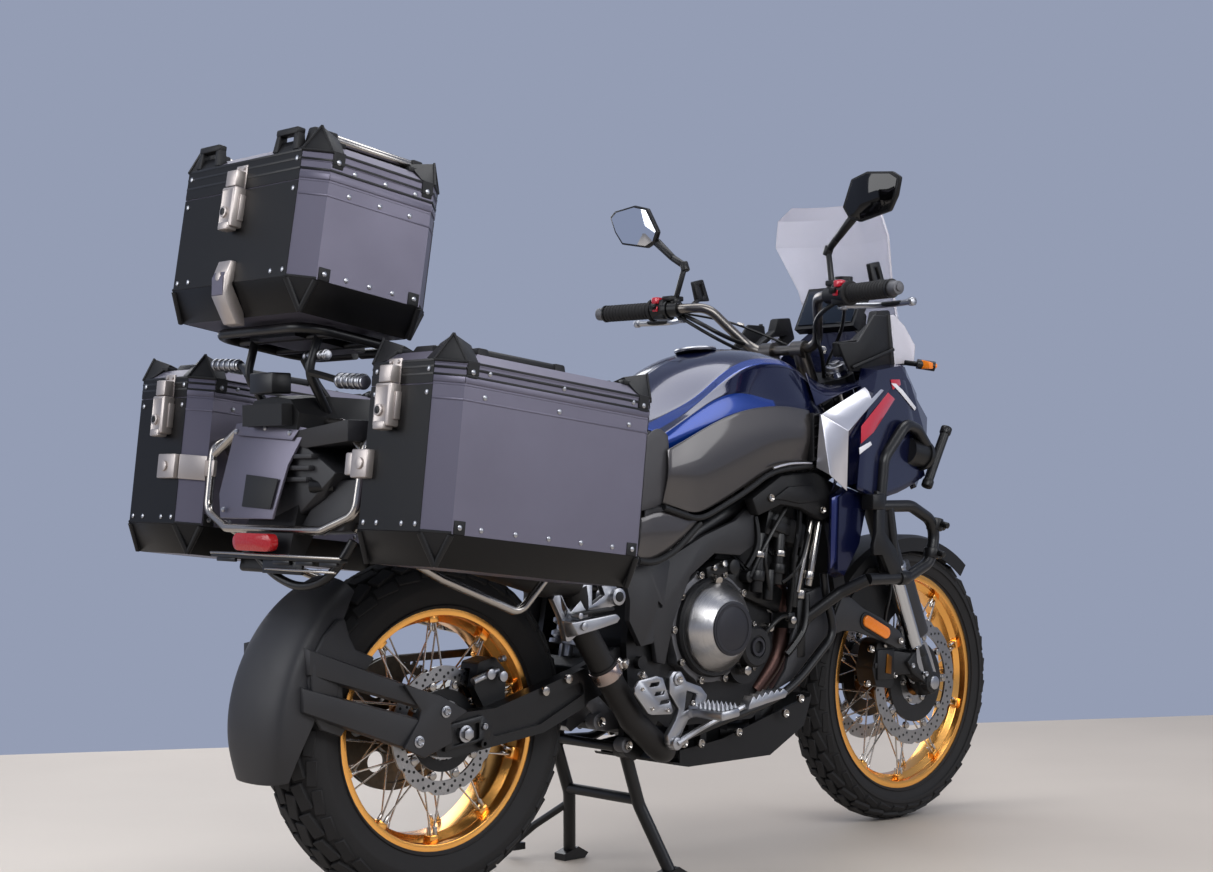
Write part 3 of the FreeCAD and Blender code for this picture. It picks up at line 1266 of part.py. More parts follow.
def pannier_pieces():
    tray, lid, seam = case_pair(PANNIER_LENGTH, PANNIER_WIDTH, PANNIER_HEIGHT, PANNIER_LID_HEIGHT, CASE_CHAMFER)
    tray = joined([tray, latch(-20, seam, "tray")])
    handle = bent_tube([(150, 0, PANNIER_HEIGHT - 3), (165, 0, PANNIER_HEIGHT + 16), (320, 0, PANNIER_HEIGHT + 16),
                        (335, 0, PANNIER_HEIGHT - 3)], 7, 12)
    lid = joined([lid, latch(-20, seam, "lid"), handle])
    return placed(tray, PANNIER_PITCH, PANNIER_AT), placed(lid, PANNIER_PITCH, PANNIER_AT)


def topcase_pieces():
    tray, lid, seam = case_pair(TOPCASE_LENGTH, TOPCASE_WIDTH, TOPCASE_HEIGHT, TOPCASE_LID_HEIGHT, CASE_CHAMFER)
    release = plate([(2, 84), (-12, 84), (-RELEASE_DEPTH, 60), (-RELEASE_DEPTH + 4, 30), (16, -14), (34, -14),
                     (26, 8), (-4, 52), (2, 60)], (-17, 17), 3)
    tray = joined([tray, latch(0, seam, "tray"), release])
    lid = joined([lid, latch(0, seam, "lid")])
    rails = []
    for side in (1, -1):
        y = side * 168
        rails.append(bent_tube([(40, y, TOPCASE_HEIGHT - 3), (52, y, TOPCASE_HEIGHT + 16),
                                (238, y, TOPCASE_HEIGHT + 16), (250, y, TOPCASE_HEIGHT - 3)], 7, 12))
    lid = joined([lid] + rails)
    return placed(tray, TOPCASE_PITCH, TOPCASE_AT), placed(lid, TOPCASE_PITCH, TOPCASE_AT)


# Nodes

def build_nodes():
    """Every node's solids by name."""
    nodes = {}
    frame = joined(main_frame() + stand_mount())
    nodes["main_frame"] = [frame]
    nodes["rear_subframe"] = [without(rear_subframe()[0], frame)]
    nodes["engine_cases"] = [joined(engine_cases() + [drive_sprocket(), side_stand_mount()])]
    nodes["engine_cylinders"] = [without(engine_cylinders()[0], frame)]
    nodes["engine_covers"] = engine_covers()
    nodes["radiator"] = radiator()
    nodes["exhaust_pipes"] = exhaust_pipes()
    nodes["silencer"] = silencer()
    nodes["fuel_tank"] = [without(fuel_tank()[0], frame)]
    nodes["tank_side_panels"] = tank_side_panels()
    nodes["radiator_shrouds"] = radiator_shrouds()
    nodes["front_fairing"] = front_fairing()
    nodes["headlamp"] = headlamp()
    nodes["windscreen"] = windscreen()
    nodes["instrument_panel"] = instrument_panel()
    nodes["rider_seat"] = rider_seat()
    nodes["passenger_seat"] = passenger_seat()
    nodes["tail_unit"] = tail_unit()
    nodes["signal_lamps"] = signal_lamps()
    nodes["skid_plate"] = skid_plate()
    nodes["crash_bars"] = crash_bars()
    nodes["auxiliary_lamps"] = auxiliary_lamps()
    nodes["luggage_rack"] = luggage_rack()
    nodes["topcase_rack"] = topcase_rack()
    nodes["swingarm"] = swingarm()
    nodes["rear_shock"] = rear_shock()
    nodes["rear_hugger"] = rear_hugger()
    nodes["rear_caliper"] = rear_caliper()
    nodes["drive_chain"] = drive_chain()
    nodes["footrest_hangers"] = footrest_hangers()
    tray, lid = topcase_pieces()
    nodes["topcase_body"], nodes["topcase_lid"] = [tray], [lid]
    tray, lid = pannier_pieces()
    nodes["pannier_left_body"], nodes["pannier_left_lid"] = [tray], [lid]
    nodes["pannier_right_body"], nodes["pannier_right_lid"] = [mirrored(tray)], [mirrored(lid)]
    nodes["fork_legs"] = fork_legs()
    nodes["triple_clamps"] = triple_clamps()
    nodes["front_fender"] = front_fender()
    nodes["front_calipers"] = front_calipers()
    nodes["handlebar"] = handlebar()
    nodes["hand_controls"] = hand_controls()
    nodes["mirrors"] = mirrors()
    front = (WHEELBASE, FRONT_AXLE_Z)
    rear = (0, REAR_AXLE_Z)
    nodes["front_tyre"] = [tyre(*front, FRONT_TYRE_RADIUS, FRONT_TYRE_WIDTH, FRONT_RIM_RADIUS, FRONT_RIM_WIDTH)]
    nodes["front_rim"] = [rim(*front, FRONT_RIM_RADIUS, FRONT_RIM_WIDTH, FRONT_LUG_Y)]
    nodes["front_hub"] = [spoked_hub(*front, FRONT_RIM_RADIUS, FRONT_LUG_Y, FRONT_FLANGE_Y, FRONT_HUB_BOSS_Y)]
    nodes["front_discs"] = front_discs()
    nodes["rear_tyre"] = [tyre(*rear, REAR_TYRE_RADIUS, REAR_TYRE_WIDTH, REAR_RIM_RADIUS, REAR_RIM_WIDTH)]
    nodes["rear_rim"] = [rim(*rear, REAR_RIM_RADIUS, REAR_RIM_WIDTH, REAR_LUG_Y)]
    nodes["rear_hub"] = [spoked_hub(*rear, REAR_RIM_RADIUS, REAR_LUG_Y, REAR_FLANGE_Y, REAR_HUB_BOSS_Y)]
    nodes["rear_disc"] = rear_disc()
    nodes["rear_sprocket"] = [rear_sprocket()]
    nodes["centre_stand"] = centre_stand()
    nodes["side_stand"] = side_stand()
    return nodes


def write_nodes(nodes):
    """Write each node's solids to its own file."""
    os.makedirs("parts", exist_ok=True)
    for name, shapes in nodes.items():
        solids = [solid for shape in shapes for solid in shape.Solids]
        shape = Part.makeCompound(solids) if len(solids) > 1 else solids[0]
        shape.translate(V(-CENTRE_X, 0, 0))
        shape.exportStep(f"parts/{name}.step")


write_nodes(build_nodes())
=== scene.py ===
# %% [markdown]
# # An adventure motorcycle with cases
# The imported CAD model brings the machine's skeleton: frame, wheels, engine block, racks and cases, each
# riding on the body that moves it. This lesson gives those parts their finishes, and models on top of them
# what a CAD solid leaves plain: tyre tread, padded seats, painted body panels, case hardware, hoses and
# fasteners.

from math import cos, pi, radians, sin

import bpy
from mathutils import Matrix, Vector


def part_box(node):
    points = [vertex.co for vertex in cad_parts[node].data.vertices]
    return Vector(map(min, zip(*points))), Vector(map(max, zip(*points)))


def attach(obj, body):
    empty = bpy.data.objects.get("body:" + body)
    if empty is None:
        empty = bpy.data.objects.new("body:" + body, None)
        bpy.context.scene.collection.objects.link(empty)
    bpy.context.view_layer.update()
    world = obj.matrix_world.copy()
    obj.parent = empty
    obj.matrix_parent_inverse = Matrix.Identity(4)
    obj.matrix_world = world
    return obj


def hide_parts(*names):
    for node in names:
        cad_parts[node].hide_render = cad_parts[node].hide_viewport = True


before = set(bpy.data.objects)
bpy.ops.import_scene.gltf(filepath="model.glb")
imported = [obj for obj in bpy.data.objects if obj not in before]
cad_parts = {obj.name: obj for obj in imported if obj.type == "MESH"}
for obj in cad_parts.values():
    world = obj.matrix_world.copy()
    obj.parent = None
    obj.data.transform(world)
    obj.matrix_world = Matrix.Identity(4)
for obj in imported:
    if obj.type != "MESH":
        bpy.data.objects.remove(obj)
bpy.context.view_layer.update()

# %% [markdown]
# ## Where things are
# The row frame has its origin on the floor under the middle of the machine. Sizes on a motorcycle are easier
# to think of from the rear axle, in millimetres, so one function turns such a point into the row frame in
# metres. It measures where the rear axle is from the rear hub's own box.

# %% Millimetres from the rear axle
hub_low, hub_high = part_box("rear_hub")
AXLE_X = (hub_low[0] + hub_high[0]) / 2
REAR_AXLE = (0, 0, 1000 * (hub_low[2] + hub_high[2]) / 2)
front_low, front_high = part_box("front_hub")
FRONT_AXLE = (1000 * ((front_low[0] + front_high[0]) / 2 - AXLE_X), 0,
    1000 * (front_low[2] + front_high[2]) / 2)


def at(x, y, z):
    """A point given in millimetres from under the rear axle, in metres in the row frame."""
    return Vector((AXLE_X + x / 1000, y / 1000, z / 1000))


print("front axle, mm from the rear axle", [round(value, 1) for value in FRONT_AXLE])

# %% [markdown]
# ## Camera
# The photograph's view was solved from the two wheels, whose ellipses fix the distance and the focal length.
# The camera looks level from behind the right side, and a small vertical shift stands in for the crop of the
# picture.

# %% Camera at the photograph's place
camera_data = bpy.data.cameras.new("photo_camera")
camera = bpy.data.objects.new("photo_camera", camera_data)
bpy.context.scene.collection.objects.link(camera)
camera.location = at(-2250.5, -2902.3, 806.4)
camera.rotation_euler = (pi / 2, 0, -radians(43.26))
camera_data.lens = 57.63
camera_data.sensor_width = 36
camera_data.shift_y = 0.0346
camera_data.clip_end = 60
bpy.context.scene.camera = camera

# %% [markdown]
# ## Colours and nodes
# Colours are written as sRGB hex values, as a painter would pick them, and one function turns them to the
# linear values that the renderer works in. Two more small functions add any shader node and feed its inputs,
# with values or with links from other nodes.

# %% Colour and node helpers
def hex_colour(code, alpha=1.0):
    """An sRGB colour such as 1a2b3c in linear light."""
    channels = []
    for start in (0, 2, 4):
        value = int(code[start:start + 2], 16) / 255
        channels.append(value / 12.92 if value <= 0.04045 else ((value + 0.055) / 1.055) ** 2.4)
    return (*channels, alpha)


def feed(node, inputs):
    """Sets inputs by name or number: numbers and colours as values, another node's output as a link."""
    for name, value in inputs.items():
        if isinstance(value, bpy.types.NodeSocket):
            node.id_data.links.new(value, node.inputs[name])
        else:
            node.inputs[name].default_value = value


def add_node(tree, kind, inputs=None, **settings):
    """Adds a shader node of a kind, with its settings, and feeds its inputs."""
    node = tree.nodes.new("ShaderNode" + kind)
    for name, value in settings.items():
        setattr(node, name, value)
    feed(node, inputs or {})
    return node


finishes = {}


def new_finish(name):
    """Starts a material in the table of finishes, and gives its node tree and its shader."""
    finishes[name] = bpy.data.materials.new(name)
    finishes[name].use_nodes = True
    tree = finishes[name].node_tree
    return tree, tree.nodes["Principled BSDF"]


# %% [markdown]
# ## Light and floor
# Product studios light a vehicle with large soft boxes, so that curved paint shows long soft highlights.
# Three broad area lamps and two smaller ones behind do that here. The world is a faint even light, and its
# blue-grey backdrop is only shown to the camera and to glossy and clear surfaces, so it adds no light to the
# machine.

# %% Studio light
scene = bpy.context.scene
scene.view_settings.view_transform = "Standard"
world = bpy.data.worlds.new("studio_world")
scene.world = world
world.use_nodes = True
tree = world.node_tree
tree.nodes.clear()
path = add_node(tree, "LightPath")
seen = add_node(tree, "Math", {0: path.outputs["Is Camera Ray"], 1: path.outputs["Is Transmission Ray"]},
    operation="MAXIMUM")
seen = add_node(tree, "Math", {0: seen.outputs[0], 1: path.outputs["Is Glossy Ray"]}, operation="MAXIMUM")
ambient = add_node(tree, "Background", {"Color": hex_colour("e6ebf5"), "Strength": 0.42})
backdrop = add_node(tree, "Background", {"Color": hex_colour("949db4"), "Strength": 1.0})
mixed = add_node(tree, "MixShader", {0: seen.outputs[0], 1: ambient.outputs[0], 2: backdrop.outputs[0]})
add_node(tree, "OutputWorld", {"Surface": mixed.outputs[0]})


def soft_box(name, place, aim, size, power, tint="ffffff"):
    """A square area lamp that faces a point."""
    data = bpy.data.lights.new(name, "AREA")
    data.shape = "RECTANGLE"
    data.size, data.size_y = size
    data.energy = power
    data.color = hex_colour(tint)[:3]
    lamp = bpy.data.objects.new(name, data)
    lamp.location = place
    lamp.rotation_euler = (Vector(aim) - Vector(place)).to_track_quat("-Z", "Y").to_euler()
    scene.collection.objects.link(lamp)


soft_box("key_light", (-1.6, -3.4, 3.0), (0, 0, 0.7), (3.2, 1.6), 120)
soft_box("top_light", (0.2, 0.4, 4.2), (0, 0, 0.6), (4.5, 2.0), 115)
soft_box("front_light", (2.6, -4.6, 2.4), (0.4, 0, 0.7), (2.4, 2.4), 55)
soft_box("rear_light", (-4.2, 1.6, 2.2), (-0.3, 0, 0.8), (2.4, 2.4), 60)
soft_box("far_light", (1.0, 4.2, 2.4), (0, 0, 0.7), (3.0, 2.0), 60)

# %% Studio floor
bpy.ops.object.select_all(action="DESELECT")
bpy.ops.mesh.primitive_plane_add(size=14, location=at(-1365, -4644, -0.5), rotation=(0, 0, radians(-29.28)))
floor = bpy.context.object
floor.name = "studio_floor"
tree, shader = new_finish("polished_pale_concrete")
place = add_node(tree, "TexCoord").outputs["Object"]
mottle = add_node(tree, "TexNoise", {"Vector": place, "Scale": 1.6, "Detail": 5.0})
tones = add_node(tree, "ValToRGB", {"Fac": mottle.outputs["Fac"]})
for stop, tint in zip(tones.color_ramp.elements, ("b3aaa2", "c2b9b0")):
    stop.color = hex_colour(tint)
feed(shader, {"Base Color": tones.outputs["Color"], "Roughness": 0.55})
floor.data.materials.append(finishes["polished_pale_concrete"])

# %% [markdown]
# ## Finishes
# Nearly every surface here is one of a few families: powder-coated steel, cast or brushed metal, moulded
# plastic and sprayed paint. They differ in colour, gloss and the size of their grain, so one function makes
# the family and a table gives each member its real numbers. Grain is stated in millimetres: powder coat has
# an orange peel about 1 mm across, sand-cast aluminium about 1.5 mm, moulded plastic texture about 0.8 mm.
# Below about 1 mm the grain can't be seen in this picture, so it is drawn a little coarser than it is.

# %% The family of grained surfaces
def grained(name, colour, second, roughness, metallic=0.0, grain=1.0, relief=0.1, coat=0.0, stretch=(1, 1, 1),
        patch=60.0, specular=0.5):
    """A finish whose colour drifts between two tones over patches, with a fine grain, both in mm."""
    tree, shader = new_finish(name)
    place = add_node(tree, "TexCoord").outputs["Object"]
    spread = add_node(tree, "Mapping", {"Vector": place, "Scale": stretch}).outputs["Vector"]
    drift = add_node(tree, "TexNoise", {"Vector": spread, "Scale": 1000 / patch, "Detail": 4.0,
        "Roughness": 0.6}).outputs["Fac"]
    tone = add_node(tree, "Mix", {"Factor": drift, 6: hex_colour(colour), 7: hex_colour(second)},
        data_type="RGBA")
    fine = add_node(tree, "TexNoise", {"Vector": spread, "Scale": 1000 / grain, "Detail": 2.0})
    bump = add_node(tree, "Bump", {"Strength": relief, "Distance": grain / 1000,
        "Height": fine.outputs["Fac"]})
    gloss = add_node(tree, "MapRange", {"Value": drift, "To Min": roughness * 0.85,
        "To Max": min(1.0, roughness * 1.2)})
    feed(shader, {"Base Color": tone.outputs[2], "Normal": bump.outputs["Normal"],
        "Roughness": gloss.outputs["Result"], "Metallic": metallic, "Coat Weight": coat,
        "Coat Roughness": 0.05, "Specular IOR Level": specular})
    return tree, shader


# Powder coat and enamels: a hard dielectric skin over metal, so the highlight stays white.
grained("black_powder_coat", "0a0a0b", "101012", 0.34, grain=1.2, relief=0.12, specular=0.4)
grained("black_engine_enamel", "0d0d0f", "161618", 0.42, grain=1.6, relief=0.28, specular=0.35)
grained("heat_proof_black", "0c0b0b", "151211", 0.5, grain=1.2, relief=0.15, patch=40, specular=0.35)
# Bare metals: metallic shading, with the colour in the reflection.
grained("cast_grey_aluminium", "8b8c8e", "6f7072", 0.36, metallic=1.0, grain=1.5, relief=0.2)
grained("forged_alloy", "b4b5b8", "9a9b9f", 0.3, metallic=1.0, grain=1.3, relief=0.12)
grained("brushed_stainless", "b9b4ae", "9a958f", 0.24, metallic=1.0, grain=1.4, relief=0.06,
    stretch=(0.3, 1, 1))
grained("spoke_steel", "c9c4bd", "b5b0a9", 0.26, metallic=1.0, grain=1.2)
grained("polished_fork_chrome", "c8cacd", "b9bbbe", 0.12, metallic=1.0, grain=1.2, relief=0.02)
grained("ground_disc_steel", "a9a9aa", "8b8b8c", 0.28, metallic=1.0, relief=0.12, patch=20)
grained("oiled_chain_steel", "5d574e", "3f3b36", 0.38, metallic=1.0, grain=1.2, relief=0.2, patch=12)
grained("gold_anodised_rim", "ffbf6a", "f8b058", 0.22, metallic=1.0, grain=1.2, relief=0.05, patch=120)
grained("bronze_anodised_hub", "8a5a24", "6e4519", 0.3, metallic=1.0, grain=1.3)
grained("titanium_grey_tube", "77736f", "66625e", 0.3, metallic=1.0, grain=1.1, relief=0.05)
grained("case_sheet_anodised", "6f6c7a", "64616e", 0.42, metallic=0.75, relief=0.08, patch=180)
# A near-black sheet: painted reflection on the cases' end faces, painted shade on their bottom bevels, and
# the lids' top panels.
grained("case_sheet_black_and_painted_reflection", "060607", "0a0a0b", 0.36, relief=0.08, patch=160, specular=0.22)
grained("satin_latch_steel", "bdb5b0", "aca4a0", 0.4, metallic=0.85, grain=1.1, relief=0.08, patch=40)
# Plastics: moulded texture, no metal in them.
grained("black_moulded_plastic", "0c0c0d", "121214", 0.5, grain=1.4, relief=0.16, specular=0.32)
grained("dark_grey_plastic", "1b1b1e", "232326", 0.5, grain=1.6, relief=0.16)
grained("control_plastic", "0a0a0b", "101011", 0.38, grain=1.1, relief=0.12, specular=0.35)
grained("tyre_rubber", "19191a", "232223", 0.7, grain=1.4, relief=0.25, patch=30, specular=0.3)
# Sprayed paints under clear lacquer.
grained("navy_lacquer", "10163a", "0c1130", 0.22, metallic=0.45, relief=0.02, coat=0.6, patch=220)
grained("gunmetal_lacquer", "4b4848", "434040", 0.3, metallic=0.7, relief=0.03, coat=0.8, patch=200)
grained("silver_lacquer", "cbcbd2", "bdbdc5", 0.28, metallic=0.75, relief=0.03, coat=0.8, patch=150)
print("finishes so far:", len(finishes))

# %% [markdown]
# ## The CAD nodes that stay
# A solid whose shape is already right keeps its mesh and only gets its real finish. The table names each
# finish's nodes; the nodes that a later cell replaces are left out.

# %% Finish of each kept node
node_finish = {
    "black_powder_coat": "main_frame rear_subframe swingarm crash_bars topcase_rack centre_stand side_stand",
    "black_engine_enamel": "engine_cases engine_cylinders radiator triple_clamps",
    "heat_proof_black": "exhaust_pipes silencer",
    "navy_lacquer": "front_fairing",
    "black_moulded_plastic": "headlamp tail_unit skid_plate front_fender",
    "control_plastic": "instrument_panel signal_lamps auxiliary_lamps rear_caliper front_calipers "
        "hand_controls",
    "brushed_stainless": "luggage_rack",
    "forged_alloy": "rear_shock",
    "oiled_chain_steel": "drive_chain rear_sprocket",
    "case_sheet_anodised": "topcase_body topcase_lid pannier_left_body pannier_left_lid pannier_right_body "
        "pannier_right_lid",
    "polished_fork_chrome": "fork_legs",
    "titanium_grey_tube": "handlebar",
    "bronze_anodised_hub": "front_hub rear_hub",
    "ground_disc_steel": "front_discs rear_disc",
}


def refinish(node, finish):
    """Gives every material slot of a CAD node one finish."""
    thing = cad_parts[node]
    for place in thing.material_slots:
        place.material = finishes[finish]


for finish, nodes in node_finish.items():
    for node in nodes.split():
        refinish(node, finish)
print("nodes with a finish:", sum(len(nodes.split()) for nodes in node_finish.values()))

# %% [markdown]
# ## Modelling helpers
# Every new piece starts from a primitive at its size and place, is shaped in edit mode or with modifiers, and
# ends with its object at the origin, as the CAD nodes do. The helpers below are the few moves that nearly
# every piece repeats: add a bevelled block, a round bar or a bent tube, copy it, join pieces, and hand the
# result to its body.

# %% Start, place and join
def alone(thing):
    """Selects one object only."""
    bpy.ops.object.select_all(action="DESELECT")
    thing.select_set(True)
    bpy.context.view_layer.objects.active = thing


def settle(thing):
    """Moves the object's place, turn and size into its mesh."""
    alone(thing)
    bpy.ops.object.transform_apply(location=True, rotation=True, scale=True)
    return thing


def modify(thing, kind, **settings):
    """Adds a modifier with its settings and applies it."""
    alone(thing)
    modifier = thing.modifiers.new(kind.lower(), kind)
    for name, value in settings.items():
        setattr(modifier, name, value)
    bpy.ops.object.modifier_apply(modifier=modifier.name)
    return thing


def join(things):
    """Several meshes as one object."""
    bpy.ops.object.select_all(action="DESELECT")
    for thing in things:
        thing.select_set(True)
    bpy.context.view_layer.objects.active = things[0]
    if len(things) > 1:
        bpy.ops.object.join()
    return bpy.context.view_layer.objects.active


def hand_over(thing, name, finish, body="chassis", smooth=35):
    """Names a finished piece, shades it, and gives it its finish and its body."""
    settle(thing)
    thing.name = name
    thing.data.name = name
    bpy.ops.object.shade_smooth_by_angle(angle=radians(smooth))
    thing.data.materials.clear()
    thing.data.materials.append(finishes[finish])
    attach(thing, body)
    return thing


def copy_of(thing, turn=None):
    """A copy with its own mesh, moved by a matrix if one is given."""
    twin = thing.copy()
    twin.data = thing.data.copy()
    scene.collection.objects.link(twin)
    if turn is not None:
        twin.data.transform(turn)
        if turn.determinant() < 0:
            twin.data.flip_normals()
    return twin


MIRROR = Matrix.Scale(-1, 4, (0, 1, 0))
WELD = 0.00002  # points nearer than 0.02 mm become one


def pair(*things):
    """Pieces and their mirror images on the machine's other side, joined."""
    thing = settle(join(things))
    return join([thing, copy_of(thing, MIRROR)])


# %% Moves in edit mode
def drawn(points, fill="NGON"):
    """A circle whose points are moved to places in mm."""
    bpy.ops.object.select_all(action="DESELECT")
    bpy.ops.mesh.primitive_circle_add(vertices=len(points), radius=0.1, fill_type=fill, location=(0, 0, 0))
    thing = bpy.context.object
    for vertex, point in zip(thing.data.vertices, points):
        vertex.co = at(*point)
    return thing


def edit_all(thing, *moves):
    """Makes each (operator, settings) move on the whole mesh, then turns its normals outwards."""
    alone(thing)
    bpy.ops.object.mode_set(mode="EDIT")
    for move, settings in (*moves, (bpy.ops.mesh.normals_make_consistent, {"inside": False})):
        bpy.ops.mesh.select_all(action="SELECT")
        move(**settings)
    bpy.ops.object.mode_set(mode="OBJECT")
    return thing


def thicken(thing, way):
    """Extrudes a flat outline along a way in mm."""
    step = {"TRANSFORM_OT_translate": {"value": [share / 1000 for share in way]}}
    return edit_all(thing, (bpy.ops.mesh.extrude_region_move, step))


def edit_faces(thing, wanted, *moves):
    """Selects the faces that a rule wants, and makes (inset in mm, shift in mm) moves on them."""
    alone(thing)
    bpy.ops.object.mode_set(mode="EDIT")
    bpy.ops.mesh.select_mode(type="FACE")
    bpy.ops.mesh.select_all(action="DESELECT")
    bpy.ops.object.mode_set(mode="OBJECT")
    for face in thing.data.polygons:
        face.select = wanted(face)
    bpy.ops.object.mode_set(mode="EDIT")
    for inset, shift in moves:
        bpy.ops.mesh.inset(thickness=inset / 1000)
        bpy.ops.transform.translate(value=[share / 1000 for share in shift])
    bpy.ops.object.mode_set(mode="OBJECT")
    return thing


# %% Blocks, bars and tubes
def block(low, high, edge=2.0, turn=(0, 0, 0), segments=2):
    """A block between two corners in mm, with rounded edges, turned about its own centre."""
    centre = [(a + b) / 2 for a, b in zip(low, high)]
    size = [(b - a) / 1000 for a, b in zip(low, high)]
    bpy.ops.object.select_all(action="DESELECT")
    bpy.ops.mesh.primitive_cube_add(size=1, location=at(*centre), rotation=[radians(angle) for angle in turn])
    thing = bpy.context.object
    thing.scale = size
    settle(thing)
    if edge:
        modify(thing, "BEVEL", width=edge / 1000, segments=segments, limit_method="ANGLE")
    return thing


def bar(start, end, radius, end_radius=None, edge=0.0, sides=20):
    """A round bar or cone between two points in mm."""
    first, last = at(*start), at(*end)
    middle = (first + last) / 2
    bpy.ops.object.select_all(action="DESELECT")
    bpy.ops.mesh.primitive_cone_add(vertices=sides, radius1=radius / 1000,
        radius2=(radius if end_radius is None else end_radius) / 1000, depth=(last - first).length,
        location=middle)
    thing = bpy.context.object
    thing.rotation_euler = (last - first).to_track_quat("Z", "Y").to_euler()
    settle(thing)
    if edge:
        modify(thing, "BEVEL", width=edge / 1000, segments=2, limit_method="ANGLE", angle_limit=radians(50))
    return thing


def tube(points, radius, sides=10):
    """A bent tube or hose along points in mm, as a smooth curve made a mesh."""
    curve = bpy.data.curves.new("route", "CURVE")
    curve.dimensions = "3D"
    spline = curve.splines.new("NURBS")
    spline.points.add(len(points) - 1)
    for control, point in zip(spline.points, points):
        control.co = (*at(*point), 1)
    spline.order_u = 3
    spline.use_endpoint_u = True
    spline.resolution_u = 6
    curve.bevel_depth = radius / 1000
    curve.bevel_resolution = max(1, sides // 4 - 1)
    curve.use_fill_caps = True
    thing = bpy.data.objects.new("route", curve)
    scene.collection.objects.link(thing)
    alone(thing)
    bpy.ops.object.convert(target="MESH")
    return settle(bpy.context.object)


def turned_ring(profile, centre, steps=64):
    """A closed ring: a profile of (y, radius) points in mm spun about an axle across the machine."""
    thing = drawn([(centre[0], centre[1] + y, centre[2] + radius) for y, radius in profile], "NOTHING")
    return edit_all(thing, (bpy.ops.mesh.spin, {"steps": steps, "angle": 2 * pi, "center": at(*centre),
        "axis": (0, 1, 0)}), (bpy.ops.mesh.remove_doubles, {"threshold": WELD}))


def around(thing, count, centre, first=0.0):
    """Copies of a piece spaced evenly round an axle across the machine, joined."""
    middle = at(*centre)
    copies = []
    for step in range(count):
        turn = Matrix.Rotation(first + 2 * pi * step / count, 4, "Y")
        copies.append(copy_of(thing, Matrix.Translation(middle) @ turn @ Matrix.Translation(-middle)))
    bpy.data.objects.remove(thing)
    return join(copies)


def screw(place, toward, radius=5.0, height=4.0):
    """A socket-head screw at a point in mm, its head facing along a direction."""
    along = Vector(toward).normalized()
    foot = Vector(place)
    head = bar(foot - along * 1.0, foot + along * height, radius, edge=0.8, sides=16)
    top = max(head.data.polygons, key=lambda face: face.center.dot(along) + face.area * 1000).index
    return edit_faces(head, lambda face: face.index == top, (radius * 0.4, -along * height * 0.6))


def bolt_ring(centre, y, reach, count, radius, height):
    """Screws spaced evenly round a centre (x, z) in mm, facing away from the machine's middle."""
    turns = [2 * pi * step / count for step in range(count)]
    return [screw((centre[0] + reach * cos(turn), y, centre[1] + reach * sin(turn)),
        (0, -1 if y < 0 else 1, 0), radius, height) for turn in turns]


def rivet(place, toward, radius=4.5, height=2.2):
    """A low domed rivet head."""
    along = Vector(toward).normalized()
    foot = Vector(place)
    base = bar(foot - along * 0.6, foot + along * height * 0.45, radius, sides=14)
    dome = bar(foot + along * height * 0.45, foot + along * height, radius, radius * 0.55, sides=14)
    return join([base, dome])


def bars(rows, **shape):
    """Bars with one edge and number of sides, each given as (start, end, radius)."""
    return [bar(*row, **shape) for row in rows]


print("helpers ready")

# %% [markdown]
# ## Tyres
# The tyres are of the block-pattern kind made for road and gravel. Rubber is moulded in one piece, but the
# pattern repeats round the wheel, so one short set of blocks is modelled and copied. The carcass under the
# blocks is a profile spun round the axle. The sidewall has low rings where the mould's parts met; its
# lettering is left off.

# %% Carcass and tread
tyre_sizes = {
    # outer radius, half width, bead radius, bead half width, pitches round
    "rear": (321, 75, 219, 56, 34),
    "front": (329, 55, 248, 37, 36),
}


TREAD_DEPTH = 6.5


